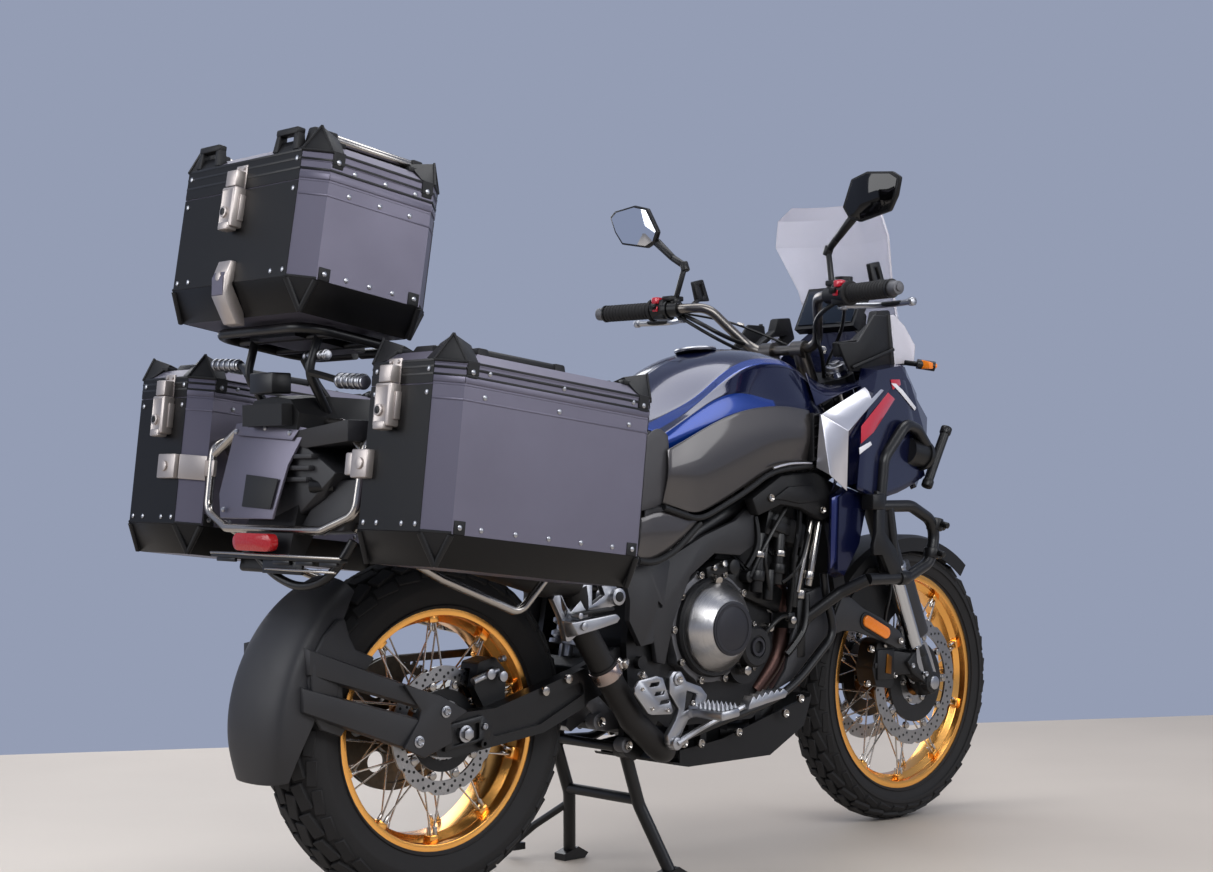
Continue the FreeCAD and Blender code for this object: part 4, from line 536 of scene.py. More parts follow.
def tyre(name, axle, body, outer, half, bead, bead_half, pitches):
    """A carcass with tread blocks that ends at the outer radius."""
    crown = outer - TREAD_DEPTH
    wall = crown - 34
    flank = [(bead_half, bead), (bead_half + 4, bead + 6), (half - 7, bead + 26), (half - 1, bead + 48),
        (half - 1.5, wall - 14), (half - 4, wall), (half * 0.84, wall + 15), (half * 0.58, crown - 8),
        (half * 0.3, crown - 2)]
    profile = [(-y, radius) for y, radius in flank] + [(0, crown)] + flank[::-1] + [(0, bead + 30)]
    carcass = turned_ring(profile, axle, steps=96)
    modify(carcass, "SUBSURF", levels=1, render_levels=1)
    rings = []
    for side in (-1, 1):
        for radius in (bead + 12, bead + 40):
            ring_half = half - 6 if radius == bead + 12 else half - 1.5
            bpy.ops.object.select_all(action="DESELECT")
            bpy.ops.mesh.primitive_torus_add(major_segments=72, minor_segments=6, major_radius=radius / 1000,
                minor_radius=0.0016, location=at(axle[0], side * (ring_half - 4), axle[2]),
                rotation=(pi / 2, 0, 0))
            rings.append(settle(bpy.context.object))
    pitch = 2 * pi * outer / pitches
    blocks = []
    rows = [
        # distance from the middle, tilt, length, width, drop, shift, turn
        (half * 0.18, 6, pitch * 0.86, half * 0.33, 0.5, 0.0, 12),
        (half * 0.54, 20, pitch * 0.84, half * 0.34, 7.5, 0.32, -12),
        (half * 0.85, 44, pitch * 0.8, half * 0.27, 25.5, 0.05, 8),
    ]
    for y, tilt, length, width, drop, shift, turn in rows:
        for side in (1, -1):
            thing = block((axle[0] - length / 2, -width / 2, axle[2] + outer - 10), (axle[0] + length / 2,
                width / 2, axle[2] + outer), edge=1.6, segments=1)
            centre = at(axle[0], 0, axle[2] + outer)
            place = Matrix.Translation(Vector((0, side * y / 1000, -drop / 1000)))
            lean = Matrix.Rotation(-side * radians(tilt), 4, "X")
            skew = Matrix.Rotation(side * radians(turn), 4, "Z")
            thing.data.transform(Matrix.Translation(centre) @ place @ lean @ skew
                @ Matrix.Translation(-centre))
            offset = (shift + (0.5 if side < 0 else 0.0)) * pitch / outer
            thing.data.transform(Matrix.Translation(at(*axle)) @ Matrix.Rotation(offset, 4, "Y")
                @ Matrix.Translation(-at(*axle)))
            blocks.append(thing)
    tread = around(join(blocks), pitches, axle)
    thing = join([carcass, tread] + rings)
    hand_over(thing, name, "tyre_rubber", body, smooth=38)
    return thing


rear_tyre = tyre("rear_tyre_with_tread", REAR_AXLE, "rear_wheel", *tyre_sizes["rear"])
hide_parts("rear_tyre")
front_tyre = tyre("front_tyre_with_tread", FRONT_AXLE, "front_wheel", *tyre_sizes["front"])
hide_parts("front_tyre")
print("tyre triangles", sum(len(face.vertices) - 2 for face in rear_tyre.data.polygons))

# %% [markdown]
# ## Seats
# Both seats are foam under a sewn cover. The cover pulls the foam's sides in and lets the top crown, which a
# short cloth simulation with inner pressure gives better than hand-placed points. Each cushion starts as a
# plain form laid out in cross-sections, a little smaller than its space, and a remesh gives the cloth even
# cells.

# %% Seat cover finish
# Vinyl has a pebbled grain about 2 mm across and a soft sheen.
tree, shader = new_finish("vinyl_seat_cover")
place = add_node(tree, "TexCoord").outputs["Object"]
pebbles = add_node(tree, "TexVoronoi", {"Vector": place, "Scale": 1000 / 2.2}, feature="SMOOTH_F1")
drift = add_node(tree, "TexNoise", {"Vector": place, "Scale": 14.0, "Detail": 3.0})
tone = add_node(tree, "Mix", {"Factor": drift.outputs["Fac"], 6: hex_colour("161617"),
    7: hex_colour("222224")}, data_type="RGBA")
bump = add_node(tree, "Bump", {"Strength": 0.35, "Distance": 0.0006, "Height": pebbles.outputs["Distance"]})
feed(shader, {"Base Color": tone.outputs[2], "Normal": bump.outputs["Normal"], "Roughness": 0.5,
    "Sheen Weight": 0.15})


# %% Cushions by simulation
def cushion_form(stations):
    """A block whose cross-sections follow (x, half width, bottom, top) stations in mm."""
    rings = []
    for x, half, bottom, top in stations:
        rings.append([(x, half * share, z) for share, z in ((-1, bottom + 6), (-1, top - 14), (-0.62, top),
            (0.62, top), (1, top - 14), (1, bottom + 6), (0.8, bottom), (-0.8, bottom))])
    points = [at(*point) for ring in rings for point in ring]
    faces = []
    size = len(rings[0])
    for row in range(len(rings) - 1):
        for step in range(size):
            after = (step + 1) % size
            faces.append((row * size + step, row * size + after, (row + 1) * size + after,
                (row + 1) * size + step))
    faces.append(tuple(reversed(range(size))))
    faces.append(tuple(range((len(rings) - 1) * size, len(rings) * size)))
    mesh = bpy.data.meshes.new("cushion")
    mesh.from_pydata(points, [], faces)
    thing = bpy.data.objects.new("cushion", mesh)
    scene.collection.objects.link(thing)
    return edit_all(thing)


def swell(thing, cap, frames=18):
    """Blows the cushion up against its own cover, no point moving further than the cap in mm."""
    modify(thing, "REMESH", mode="VOXEL", voxel_size=0.0075)
    before = [vertex.co.copy() for vertex in thing.data.vertices]
    alone(thing)
    cloth = thing.modifiers.new("cloth", "CLOTH")
    cloth.settings.quality = 6
    cloth.settings.use_pressure = True
    cloth.settings.uniform_pressure_force = 4.0
    cloth.settings.effector_weights.gravity = 0.0
    scene.frame_start, scene.frame_end = 1, frames
    for number in range(1, frames + 1):
        scene.frame_set(number)
    shape = thing.evaluated_get(bpy.context.evaluated_depsgraph_get()).to_mesh()
    moved = [vertex.co.copy() for vertex in shape.vertices]
    thing.modifiers.remove(cloth)
    for vertex, start, end in zip(thing.data.vertices, before, moved):
        step = end - start
        reach = min(step.length, cap / 1000)
        vertex.co = start + step.normalized() * reach if step.length else start
    scene.frame_set(1)
    return thing


rider_cushion = swell(cushion_form([
    # x, half width, bottom, top
    (466, 40, 832, 892), (430, 62, 822, 880), (380, 96, 818, 866), (320, 124, 820, 858), (250, 146, 828, 860),
    (190, 150, 834, 868), (138, 144, 842, 884)]), 8)
rider_cushion = modify(rider_cushion, "SMOOTH", factor=0.6, iterations=6)
passenger_cushion = swell(cushion_form([(124, 128, 850, 912), (70, 128, 860, 926), (0, 122, 872, 934),
    (-70, 112, 884, 940), (-144, 96, 900, 940)]), 8)
passenger_cushion = modify(passenger_cushion, "SMOOTH", factor=0.6, iterations=6)
hand_over(rider_cushion, "rider_cushion", "vinyl_seat_cover", smooth=60)
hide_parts("rider_seat")
hand_over(passenger_cushion, "passenger_cushion", "vinyl_seat_cover", smooth=60)
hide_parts("passenger_seat")
print("cushion points", len(rider_cushion.data.vertices), len(passenger_cushion.data.vertices))

# %% [markdown]
# ## Case hardware
# An aluminium touring case is a riveted box: flat sheet sides, cast plastic caps over the corners where the
# bevels meet, pressed ribs round the lid and over-centre latches of stainless sheet. Dark plates on the end
# faces are a painted reflection on the same sheet, and dark sheets on the bottom bevels are painted shade.
# The three cases share all of this, so each piece of hardware is modelled once in a case's own frame and
# placed by the case's pitch. What is fixed to the lid rides on the lid's body, so that it opens with it.

# %% A case's own frame
case_table = {
    # tray body, lid body, length, width, height, lid height, foot height, pitch, rear bottom edge in mm
    "topcase": ("chassis", "topcase_lid", 290, 430, 292, 72, 54, 9.0, (-430, 0, 1090)),
    "pannier_right": ("chassis", "pannier_right_lid", 484, 235, 350, 58, 54, 6.5, (-360, -372.5, 668)),
    "pannier_left": ("chassis", "pannier_left_lid", 484, 235, 350, 58, 54, 6.5, (-360, 372.5, 668)),
}
CHAMFER, FOOT_DROP, TOP_DROP, TOP_HEIGHT = 36, 33, 26, 20


def fit(case, name, piece, finish, on_lid=False, smooth=35):
    """Carries a piece modelled in mm from a case's rear bottom edge to its place, and hands it over."""
    body, lid_body, *_, pitch, corner = case_table[case]
    settle(piece)
    turn = Matrix.Rotation(radians(pitch), 4, "Y")
    piece.data.transform(Matrix.Translation(at(*corner)) @ turn @ Matrix.Translation(-at(0, 0, 0)))
    hand_over(piece, f"{case}_{name}", finish, lid_body if on_lid else body, smooth)


# %% Sheets, ribs and rivets
def painted_reflection_plate(x, way, half, low, high, thickness=1.2):
    """A dark sheet on a case's front (way 1) or rear (way -1) face: a painted reflection on the same anodised
    sheet as the sides.
    """
    return block((min(x, x + way * thickness), -half, low), (max(x, x + way * thickness), half, high),
        edge=0.5, segments=1)


def rib_line(length, width, z, proud, tall, spots=range(8)):
    """A pressed rib round a case at one height, one straight length at a time. Spots 0 and 4 are its ends."""
    half = width / 2
    outline = [(0, -half + CHAMFER), (CHAMFER, -half), (length - CHAMFER, -half), (length, -half + CHAMFER),
        (length, half - CHAMFER), (length - CHAMFER, half), (CHAMFER, half), (0, half - CHAMFER)]
    return join([facet([(*outline[spot - 1], z), (*outline[spot], z), (*outline[spot], z + tall),
        (*outline[spot - 1], z + tall)], proud, edge=0.3) for spot in spots])


def facet(corners, thickness, edge=1.0):
    """A flat cap over a few corners in mm, given anticlockwise from outside and grown outwards."""
    cap = drawn(corners)
    cap.data.update()
    thicken(cap, cap.data.polygons[0].normal * thickness)
    return modify(cap, "BEVEL", width=edge / 1000, segments=2, limit_method="ANGLE")


def four_ways(thing, length):
    """Copies of a corner piece at all four corners of a case, made from the one at its rear right."""
    settle(thing)
    middle = at(length / 2, 0, 0)
    flip_x = Matrix.Translation(middle) @ Matrix.Scale(-1, 4, (1, 0, 0)) @ Matrix.Translation(-middle)
    return join([thing, copy_of(thing, MIRROR), copy_of(thing, flip_x), copy_of(thing, MIRROR @ flip_x)])


def lug(half, low, high, reach):
    """A flat lug beside a corner, between two heights."""
    return facet([(CHAMFER + 3, -half, high), (CHAMFER + 3, -half, low), (CHAMFER + reach, -half, low),
        (CHAMFER + reach, -half, high)], 1.6)


def corner_caps(length, width, height, foot):
    """Cast plastic caps: a triangle over each bottom corner and each top corner."""
    half = width / 2
    top = height - TOP_HEIGHT
    low_cap = facet([(0, CHAMFER - half, foot), (FOOT_DROP, FOOT_DROP - half, 0), (CHAMFER, -half, foot)],
        2.6)
    low_lug = lug(half, foot, foot + 22, 26)
    edges = [bar((FOOT_DROP - 4, FOOT_DROP - half - 6, 1), end, 5, 6)
        for end in ((2, CHAMFER - half + 1, foot - 2), (CHAMFER, 2 - half, foot - 2))]
    top_cap = facet([(CHAMFER + 6, -half - 0.5, top - 2), (TOP_DROP, TOP_DROP - half, height),
        (-0.5, CHAMFER - half + 6, top - 2)], 4.0)
    roof = facet([(TOP_DROP + x, TOP_DROP - half + y, height + z) for x, y, z in ((-4, -4, -2), (52, -2, -1),
        (44, 22, 1), (22, 44, 1), (-2, 52, -1))], 9.0, edge=2.0)
    low = four_ways(join([low_cap, low_lug] + edges), length)
    high = four_ways(join([top_cap, roof, lug(half, top - 26, top - 4, 24)]), length)
    return low, high


def rivet_rows(length, width, height, lid_height, foot):
    """The rivets seen on every face, as (point, direction) lists for the tray and the lid."""
    half = width / 2
    tray, lid = [], []
    seam = height - lid_height
    for side in (1, -1):
        count = 5 if length > 400 else 3
        for step in range(count):
            x = CHAMFER + 60 + step * (length - 2 * CHAMFER - 120) / (count - 1)
            tray.append(((x, side * half, foot + 11), (0, side, 0)))
        for x in (CHAMFER + 44, length / 2, length - CHAMFER - 44):
            tray.append(((x, side * half, seam - 14), (0, side, 0)))
            lid.append(((x + 6, side * half, seam + 26), (0, side, 0)))
        for x in (CHAMFER + 14, length - CHAMFER - 14):
            tray.append(((x, side * (half + 1.6), foot + 11), (0, side, 0)))
            lid.append(((x, side * (half + 1.6), height - TOP_HEIGHT - 15), (0, side, 0)))
    for x, way in ((-1.2, -1), (length + 1.2, 1)):
        for y in (-half + CHAMFER + 12, -half + CHAMFER + 48, half - CHAMFER - 48, half - CHAMFER - 12):
            tray.append(((x, y, foot + 12), (way, 0, 0)))
        for y in (-half + CHAMFER + 12, half - CHAMFER - 12):
            tray.append(((x, y, seam - 14), (way, 0, 0)))
            lid.append(((x, y, height - TOP_HEIGHT - 14), (way, 0, 0)))
    return tray, lid


# %% Latch of stainless sheet
def latch_lever(y, seam):
    """The toggle lever on the tray: a folded plate with a stepped foot and its lock."""
    plate_low, plate_high = seam - 70, seam + 1
    cover = block((-23.5, y - 21, plate_low), (0.4, y + 21, plate_high), edge=3)
    widest = max(face.area for face in cover.data.polygons)
    edit_faces(cover, lambda face: face.normal.x < -0.9 and face.area > widest * 0.5, (2.4, (-1.4, 0, 0)),
        (1.6, (0.9, 0, 0)))
    lip = block((-27, y - 15, plate_low - 6), (-6, y + 15, plate_low + 8), edge=3)
    rim_ring = bar((-22, y + 4, seam - 44), (-27.5, y + 4, seam - 44), 10, edge=1)
    fold = block((-13, y - 24, seam - 58), (-1, y - 20, seam - 12), edge=1.2)
    return join([cover, lip, rim_ring, fold])


def latch_catch(y, seam):
    """The catch on the lid: a base plate with two screws and a hook over the lever's bar."""
    base = block((-3, y - 17, seam + 1), (0.4, y + 17, seam + 44), edge=1)
    hook = block((-22, y - 16, seam + 2), (-1, y + 16, seam + 31), edge=2.5)
    screws = [rivet((-3.2, y + side * 10, seam + 38), (-1, 0, 0), 3.6, 2.4) for side in (1, -1)]
    return join([base, hook] + screws)


def lock_core(y, seam):
    """The dark lock barrel with its keyway."""
    barrel = bar((-27.2, y + 4, seam - 44), (-28.6, y + 4, seam - 44), 6.5, edge=0.4)
    keyway = block((-29.4, y + 3, seam - 48), (-28.2, y + 5, seam - 40), edge=0.2)
    return join([barrel, keyway])


# %% Dress all three cases
for case, (_, _, length, width, height, lid_height, foot, *_) in case_table.items():
    half = width / 2
    seam = height - lid_height
    sheets = []
    # The end plates are a painted reflection and the foot sheets on the bottom bevels are painted shade, both
    # over the same anodised sheet as the sides.
    for x, way in ((0, -1), (length, 1)):
        sheets.append(painted_reflection_plate(x, way, half - CHAMFER + 0.6, foot, seam - 0.8))
        foot_shade_sheet = facet([(0, -half + CHAMFER, foot), (0, half - CHAMFER, foot),
            (FOOT_DROP, half - FOOT_DROP, 0), (FOOT_DROP, -half + FOOT_DROP, 0)] if way < 0
            else [(length, half - CHAMFER, foot), (length, -half + CHAMFER, foot),
            (length - FOOT_DROP, -half + FOOT_DROP, 0), (length - FOOT_DROP, half - FOOT_DROP, 0)], 1.2,
            edge=0.5)
        sheets.append(foot_shade_sheet)
    for side in (1, -1):
        corners = [(CHAMFER, side * half, foot), (length - CHAMFER, side * half, foot), (length - FOOT_DROP,
            side * (half - FOOT_DROP), 0), (FOOT_DROP, side * (half - FOOT_DROP), 0)]
        sheets.append(facet(corners if side > 0 else corners[::-1], 1.2, edge=0.5))
    fit(case, "painted_dark_end_sheets", join(sheets), "case_sheet_black_and_painted_reflection")
    lid_dark = []
    # The lid's end plates carry the same painted reflection.
    for x, way in ((0, -1), (length, 1)):
        lid_dark.append(painted_reflection_plate(x, way, half - CHAMFER + 0.6, seam + 0.8, height - TOP_HEIGHT))
    lid_dark.append(block((TOP_DROP + 16, -half + TOP_DROP + 16, height), (length - TOP_DROP - 16,
        half - TOP_DROP - 16, height + 3), edge=1.5))
    count = 6 if width > 300 else 3
    for step in range(count):
        y = -half + TOP_DROP + 40 + step * (width - 2 * TOP_DROP - 80) / (count - 1)
        lid_dark.append(block((TOP_DROP + 60, y - 5, height + 2),
            (length - TOP_DROP - 60, y + 5, height + 5.5), edge=1.5))
    fit(case, "lid_sheets", join(lid_dark), "case_sheet_black_and_painted_reflection", on_lid=True)
    low_caps, high_caps = corner_caps(length, width, height, foot)
    fit(case, "foot_caps", low_caps, "black_moulded_plastic")
    fit(case, "top_caps", high_caps, "black_moulded_plastic", on_lid=True)
    coloured = (1, 2, 3, 5, 6, 7)  # the dark end sheets carry no coloured rib
    ribs = join([rib_line(length, width, seam + 4, 1.6, 10, spots=coloured), rib_line(length, width,
        seam + 34, 1.2, 3, spots=coloured)])
    fit(case, "lid_ribs", ribs, "case_sheet_anodised", on_lid=True)
    belt = rib_line(length, width, seam - 24, 1.2, 3, spots=coloured)
    fit(case, "tray_rib", belt, "case_sheet_anodised")
    tray_rivets, lid_rivets = rivet_rows(length, width, height, lid_height, foot)
    fit(case, "tray_rivets", join([rivet(*place) for place in tray_rivets]), "forged_alloy")
    fit(case, "lid_rivets", join([rivet(*place) for place in lid_rivets]), "forged_alloy", on_lid=True)
    latch_y = {"topcase": 0, "pannier_left": -20, "pannier_right": 20}[case]
    fit(case, "latch", latch_lever(latch_y, seam), "satin_latch_steel")
    fit(case, "latch_catch", latch_catch(latch_y, seam), "satin_latch_steel", on_lid=True)
    fit(case, "lock", lock_core(latch_y, seam), "control_plastic")
    print("dressed", case)

# %% [markdown]
# ## Body panels
# The coloured bodywork is injection-moulded plastic and pressed steel, sprayed and lacquered. Its surfaces
# are curved sheets between drawn lines, so each one is laid out as a small grid whose rows or columns are
# those lines, smoothed between them and then given the wall's thickness. The lines keep a crease where the
# real panel has one.

# %% Curved sheets
def sheet(rows, thickness=3.0, levels=2, edge=0.8, creases=(), outward=(0, -1, 0)):
    """A curved wall through rows of points in mm, thickened away from its outward side."""
    bpy.ops.object.select_all(action="DESELECT")
    bpy.ops.mesh.primitive_grid_add(x_subdivisions=len(rows[0]) - 1, y_subdivisions=len(rows) - 1, size=1)
    thing = bpy.context.object
    mesh = thing.data
    wide = len(rows[0])
    for vertex, point in zip(mesh.vertices, [point for row in rows for point in row]):
        vertex.co = at(*point)
    if creases:
        crease = mesh.attributes.new("crease_edge", "FLOAT", "EDGE")
        for number, line in enumerate(mesh.edges):
            first, last = line.vertices
            if first // wide == last // wide and first // wide in creases:
                crease.data[number].value = 0.7
    mesh.update()
    total = sum((face.normal * face.area for face in mesh.polygons), Vector())
    if total.dot(Vector(outward)) < 0:
        mesh.flip_normals()
    if levels:
        modify(thing, "SUBSURF", levels=levels, boundary_smooth="PRESERVE_CORNERS", uv_smooth="NONE")
    modify(thing, "SOLIDIFY", thickness=thickness / 1000, offset=-1.0, use_even_offset=True)
    if edge:
        modify(thing, "BEVEL", width=edge / 1000, segments=2, limit_method="ANGLE", angle_limit=radians(60))
    return thing


def ruled(top, bottom, depth, thickness=3.0, rows=5, levels=1, edge=0.8):
    """A sheet between two lines of (x, z) points; depth gives its half width at (x, z, share)."""
    grid = []
    for row in range(rows):
        share = row / (rows - 1)
        line = []
        for (x_top, z_top), (x_low, z_low) in zip(top, bottom):
            x = x_top + (x_low - x_top) * share
            z = z_top + (z_low - z_top) * share
            line.append((x, -depth(x, z, share), z))
        grid.append(line)
    return sheet(grid, thickness, levels, edge)


# %% Tank finish: navy with two bright blue bands
# The tank's own UV map runs from the middle over the shoulder down to its side, and from its rear to its
# front. Two bands of bright blue lie in it and end before the front.
tree, shader = grained("banded_tank_lacquer", "10173c", "0b102c", 0.2, metallic=0.5, relief=0.02, coat=0.6,
    patch=260)
navy = shader.inputs["Base Color"].links[0].from_socket
place = add_node(tree, "TexCoord").outputs["UV"]
split = add_node(tree, "SeparateXYZ", {0: place})
bands = []
for low, high, end, fade in ((4 / 6, 1.0, 0.62, 0.01), (2 / 6, 3 / 6, 0.8, 0.02)):
    across = split.outputs["Y"]
    above = add_node(tree, "Math", {0: across, 1: low}, operation="GREATER_THAN")
    below = add_node(tree, "Math", {0: across, 1: high}, operation="LESS_THAN")
    mask = add_node(tree, "Math", {0: above.outputs[0], 1: below.outputs[0]}, operation="MULTIPLY")
    rear = add_node(tree, "MapRange", {"Value": split.outputs["X"], "From Min": end, "From Max": end + fade,
        "To Min": 1.0, "To Max": 0.0})
    bands.append(add_node(tree, "Math", {0: mask.outputs[0], 1: rear.outputs[0]},
        operation="MULTIPLY").outputs[0])
both = add_node(tree, "Math", {0: bands[0], 1: bands[1]}, operation="MAXIMUM")
blue = add_node(tree, "Mix", {"Factor": both.outputs[0], 6: navy, 7: hex_colour("0a3384")}, data_type="RGBA")
feed(shader, {"Base Color": blue.outputs[2]})
grained("bright_blue_lacquer", "16266a", "121f58", 0.22, metallic=0.6, relief=0.02, coat=1.0, patch=200)
grained("red_lacquer", "c4162c", "ad1024", 0.25, metallic=0.1, relief=0.02, coat=1.0, patch=150)
grained("white_lacquer", "e4e4ea", "d9d9e0", 0.3, relief=0.02, coat=0.8, patch=150)
grained("side_cover_plastic", "3b3a3d", "343336", 0.5, metallic=0.1, grain=1.2, relief=0.15)

# %% Tank
tank_rows = [
    # x, then (half width, z) from the middle over the shoulder to the side's foot
    (470, (0, 925), (56, 921), (112, 908), (150, 899), (176, 893), (186, 880), (168, 838)),
    (530, (0, 975), (60, 970), (128, 936), (168, 930), (184, 926), (192, 892), (172, 836)),
    (600, (0, 1028), (70, 1020), (139, 968), (170, 974), (184, 964), (197, 918), (176, 838)),
    (660, (0, 1056), (74, 1050), (136, 1010), (162, 1008), (185, 982), (198, 937), (180, 840)),
    (720, (0, 1076), (76, 1070), (132, 1042), (156, 1034), (186, 980), (198, 949), (182, 842)),
    (780, (0, 1086), (78, 1080), (131, 1060), (150, 1048), (186, 964), (198, 956), (184, 846)),
    (860, (0, 1088), (80, 1082), (132, 1062), (150, 1050), (190, 968), (198, 951), (184, 850)),
    (930, (0, 1074), (76, 1067), (124, 1046), (142, 1032), (180, 962), (186, 935), (178, 868)),
    (1000, (0, 1036), (64, 1029), (100, 1010), (118, 996), (144, 955), (150, 925), (142, 890)),
]
columns = [[(x, -y, z) for y, z in line] for x, *line in tank_rows]
tank_half = sheet([[column[number] for column in columns] for number in range(7)], thickness=6.0, levels=3,
    creases=(2, 3, 4))
tank = pair(tank_half)
hand_over(tank, "painted_tank", "banded_tank_lacquer", smooth=50)
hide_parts("fuel_tank")
cap_x, cap_z = 742, 1078
cap = turned_ring([(-2, 0.1), (-2, 44), (2, 46), (5, 44), (6, 36), (4, 32), (7, 28), (9, 0.1)], (cap_x, 0, 0),
    48)
cap.data.transform(Matrix.Translation(at(cap_x, 0, cap_z)) @ Matrix.Rotation(radians(90 - 6), 4,
    "X") @ Matrix.Translation(-at(cap_x, 0, 0)))
bolts = [screw((cap_x + 38 * cos(2 * pi * step / 6), 38 * sin(2 * pi * step / 6), cap_z + 3), (0, 0, 1), 3.5,
    3) for step in range(6)]
flap = block((cap_x - 16, -9, cap_z + 4), (cap_x + 26, 9, cap_z + 10), edge=2)
hand_over(join([cap, flap] + bolts), "filler_cap", "forged_alloy")

# %% Knee panels and their trims
knee_top = [(466, 862), (505, 880), (549, 900), (617, 928), (685, 947), (762, 957), (828, 957), (884, 950)]
knee_low = [(459, 756), (505, 744), (549, 731), (617, 758), (685, 787), (762, 825), (828, 835), (882, 840)]


def knee_depth(x, z, share):
    """Crowned across its height and drawn in towards its rear edge."""
    rear = max(0.0, (530 - x) / 70)
    return 199 + 9 * sin(pi * min(1.0, share * 1.1)) - 9 * rear ** 2 - 5 * share


knee = ruled(knee_top, knee_low, knee_depth, thickness=4, rows=6, levels=2, edge=1.2)
knee_piece = pair(knee)
hand_over(knee_piece, "knee_panels", "gunmetal_lacquer", smooth=50)
lower_panel = ruled([(396, 728), (463, 747), (512, 735), (558, 723)], [(390, 652), (424, 642), (452, 652),
    (482, 664)], lambda x, z, share: 190 + 3 * sin(pi * share) - 6 * share, thickness=4, edge=1.5)
lower_piece = pair(lower_panel)
hand_over(lower_piece, "lower_side_panels", "gunmetal_lacquer", smooth=50)
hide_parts("tank_side_panels")
side_cover = ruled([(416, 880), (440, 905), (462, 905), (478, 890)], [(404, 740), (430, 745), (460, 752),
    (478, 768)], lambda x, z, share: 176 + 5 * sin(pi * share) + (x - 404) * 0.08, thickness=4, edge=2)
inner_wall = ruled([(430, 900), (470, 892), (500, 870)], [(420, 640), (500, 700), (548, 730)], lambda x, z,
    share: 172, thickness=3, edge=1)
hand_over(pair(side_cover, inner_wall), "side_covers", "side_cover_plastic", smooth=45)
trim = tube([(452, -196, 748), (500, -197, 735), (552, -198, 722), (620, -199, 750), (690, -200, 780),
    (760, -200, 818), (830, -199, 828), (890, -200, 832)], 6, sides=12)
low_trim = tube([(560, -190, 716), (530, -190, 692), (484, -189, 657), (424, -187, 636), (392, -186, 645)], 7,
    sides=12)
hand_over(pair(trim, low_trim), "knee_trims", "black_moulded_plastic", smooth=60)
line = tube([(764, -205, 827), (800, -206, 835), (840, -206, 838), (884, -205, 838)], 2.6, sides=12)
hand_over(pair(line), "knee_silver_lines", "silver_lacquer", smooth=60)

# %% Louvres and silver shrouds
louvres = [block((881, -212, 842), (886, -196, 944), edge=1), block((902, -216, 842), (907, -198, 938),
    edge=1), block((884, -204, 842), (904, -196, 944), edge=1)]
for step in range(5):
    z = 846 + step * 23
    louvres.append(block((884, -212, z), (905, -198, z + 4), edge=1, turn=(0, -12, 0)))
hand_over(pair(*louvres), "tank_louvres", "black_moulded_plastic")
shroud_points = {"crest_rear": (890, -227, 941), "crest_top": (1062, -213, 1010),
    "front_top": (1084, -240, 998), "nose": (931, -268, 906), "foot": (958, -241, 778),
    "rear_low": (889, -214, 828), "fold_low": (896, -247, 812), }
p = {name: Vector(point) for name, point in shroud_points.items()}


def between(first, last, count):
    """Points evenly spaced from one to another."""
    return [tuple(first.lerp(last, step / (count - 1))) for step in range(count)]


upper = sheet([between(p["crest_rear"], p["crest_top"], 5), between(p["nose"], p["front_top"], 5)], 3.5, 0,
    1.6)
lower = sheet([between(p["crest_rear"], p["nose"], 3), between(p["fold_low"], p["foot"], 3)], 3.5, 0, 1.6)
flank = sheet([between(p["crest_rear"] + Vector((-3, 2, 0)), p["crest_rear"], 2), between(p["rear_low"],
    p["fold_low"], 2)], 3.5, 0, 1.2)
inner = sheet([between(p["nose"] + Vector((2, 6, 0)), p["front_top"] + Vector((2, 6, 0)), 3),
    between(p["foot"] + Vector((6, 46, 0)), p["front_top"] + Vector((10, 50, -70)), 3)], 3.0, 0, 1)
shroud_piece = pair(upper, lower, flank)
hand_over(shroud_piece, "silver_shrouds", "silver_lacquer", smooth=25)
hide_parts("radiator_shrouds")
hand_over(pair(inner), "shroud_inner_walls", "navy_lacquer", smooth=25)
crown_fill = sheet([[(930, -150, 1034), (1000, -118, 1010), (1070, -104, 1012), (1120, -120, 1024)],
    [(905, -200, 960), (985, -200, 990), (1062, -205, 1014), (1116, -212, 1028)]], 3, 1, 1)
hand_over(pair(crown_fill), "tank_front_fillers", "navy_lacquer", smooth=30)


# %% Fairing side with its stripe
def fairing_depth(x, z, share=0):
    """The fairing's half width: it narrows forwards and leans out a little upwards."""
    return 229 - 0.16 * (x - 1113) + 0.02 * (z - 918)


fairing = ruled([(1002, 915), (1060, 962), (1122, 1008), (1168, 1032), (1186, 1020)], [(985, 782),
    (1040, 766), (1110, 762), (1200, 782), (1282, 812)], fairing_depth, 3.5, 7, 1, 1.2)
nose_side = ruled([(1186, 1020), (1228, 968), (1270, 905)], [(1210, 800), (1246, 800), (1282, 812)], lambda x,
    z, share: fairing_depth(x, z) - 3, 3.5, 5, 1, 1.2)
fairing_piece = pair(fairing, nose_side)
hand_over(fairing_piece, "fairing_sides", "navy_lacquer")


def stripe(top, bottom, proud=1.2, thickness=1.0):
    """A band of paint film on the fairing's side."""
    return ruled(top, bottom, lambda x, z, share: fairing_depth(x, z) + proud, thickness, 3, 0, 0.2)


red = join([stripe([(996, 917), (1052, 955), (1108, 993)], [(996, 880), (1048, 905), (1138, 980)]),
    stripe([(1118, 1022), (1158, 1024)], [(1128, 1000), (1163, 1012)])])
hand_over(pair(red), "red_stripes", "red_lacquer")
white = join([stripe([(1119, 1014), (1160, 994), (1226, 957)], [(1140, 1014), (1172, 1000), (1232, 964)],
    2.0), stripe([(989, 871), (1035, 885)], [(991, 857), (1042, 878)])])
hand_over(pair(white), "white_stripes", "white_lacquer")
blade = ruled([(940, 764), (972, 772), (1006, 782)], [(946, 612), (960, 622), (976, 648)], lambda x, z,
    share: 214 - 8 * share, 3.5, 5, 1, 1.0)
hand_over(pair(blade), "lower_blades", "bright_blue_lacquer")

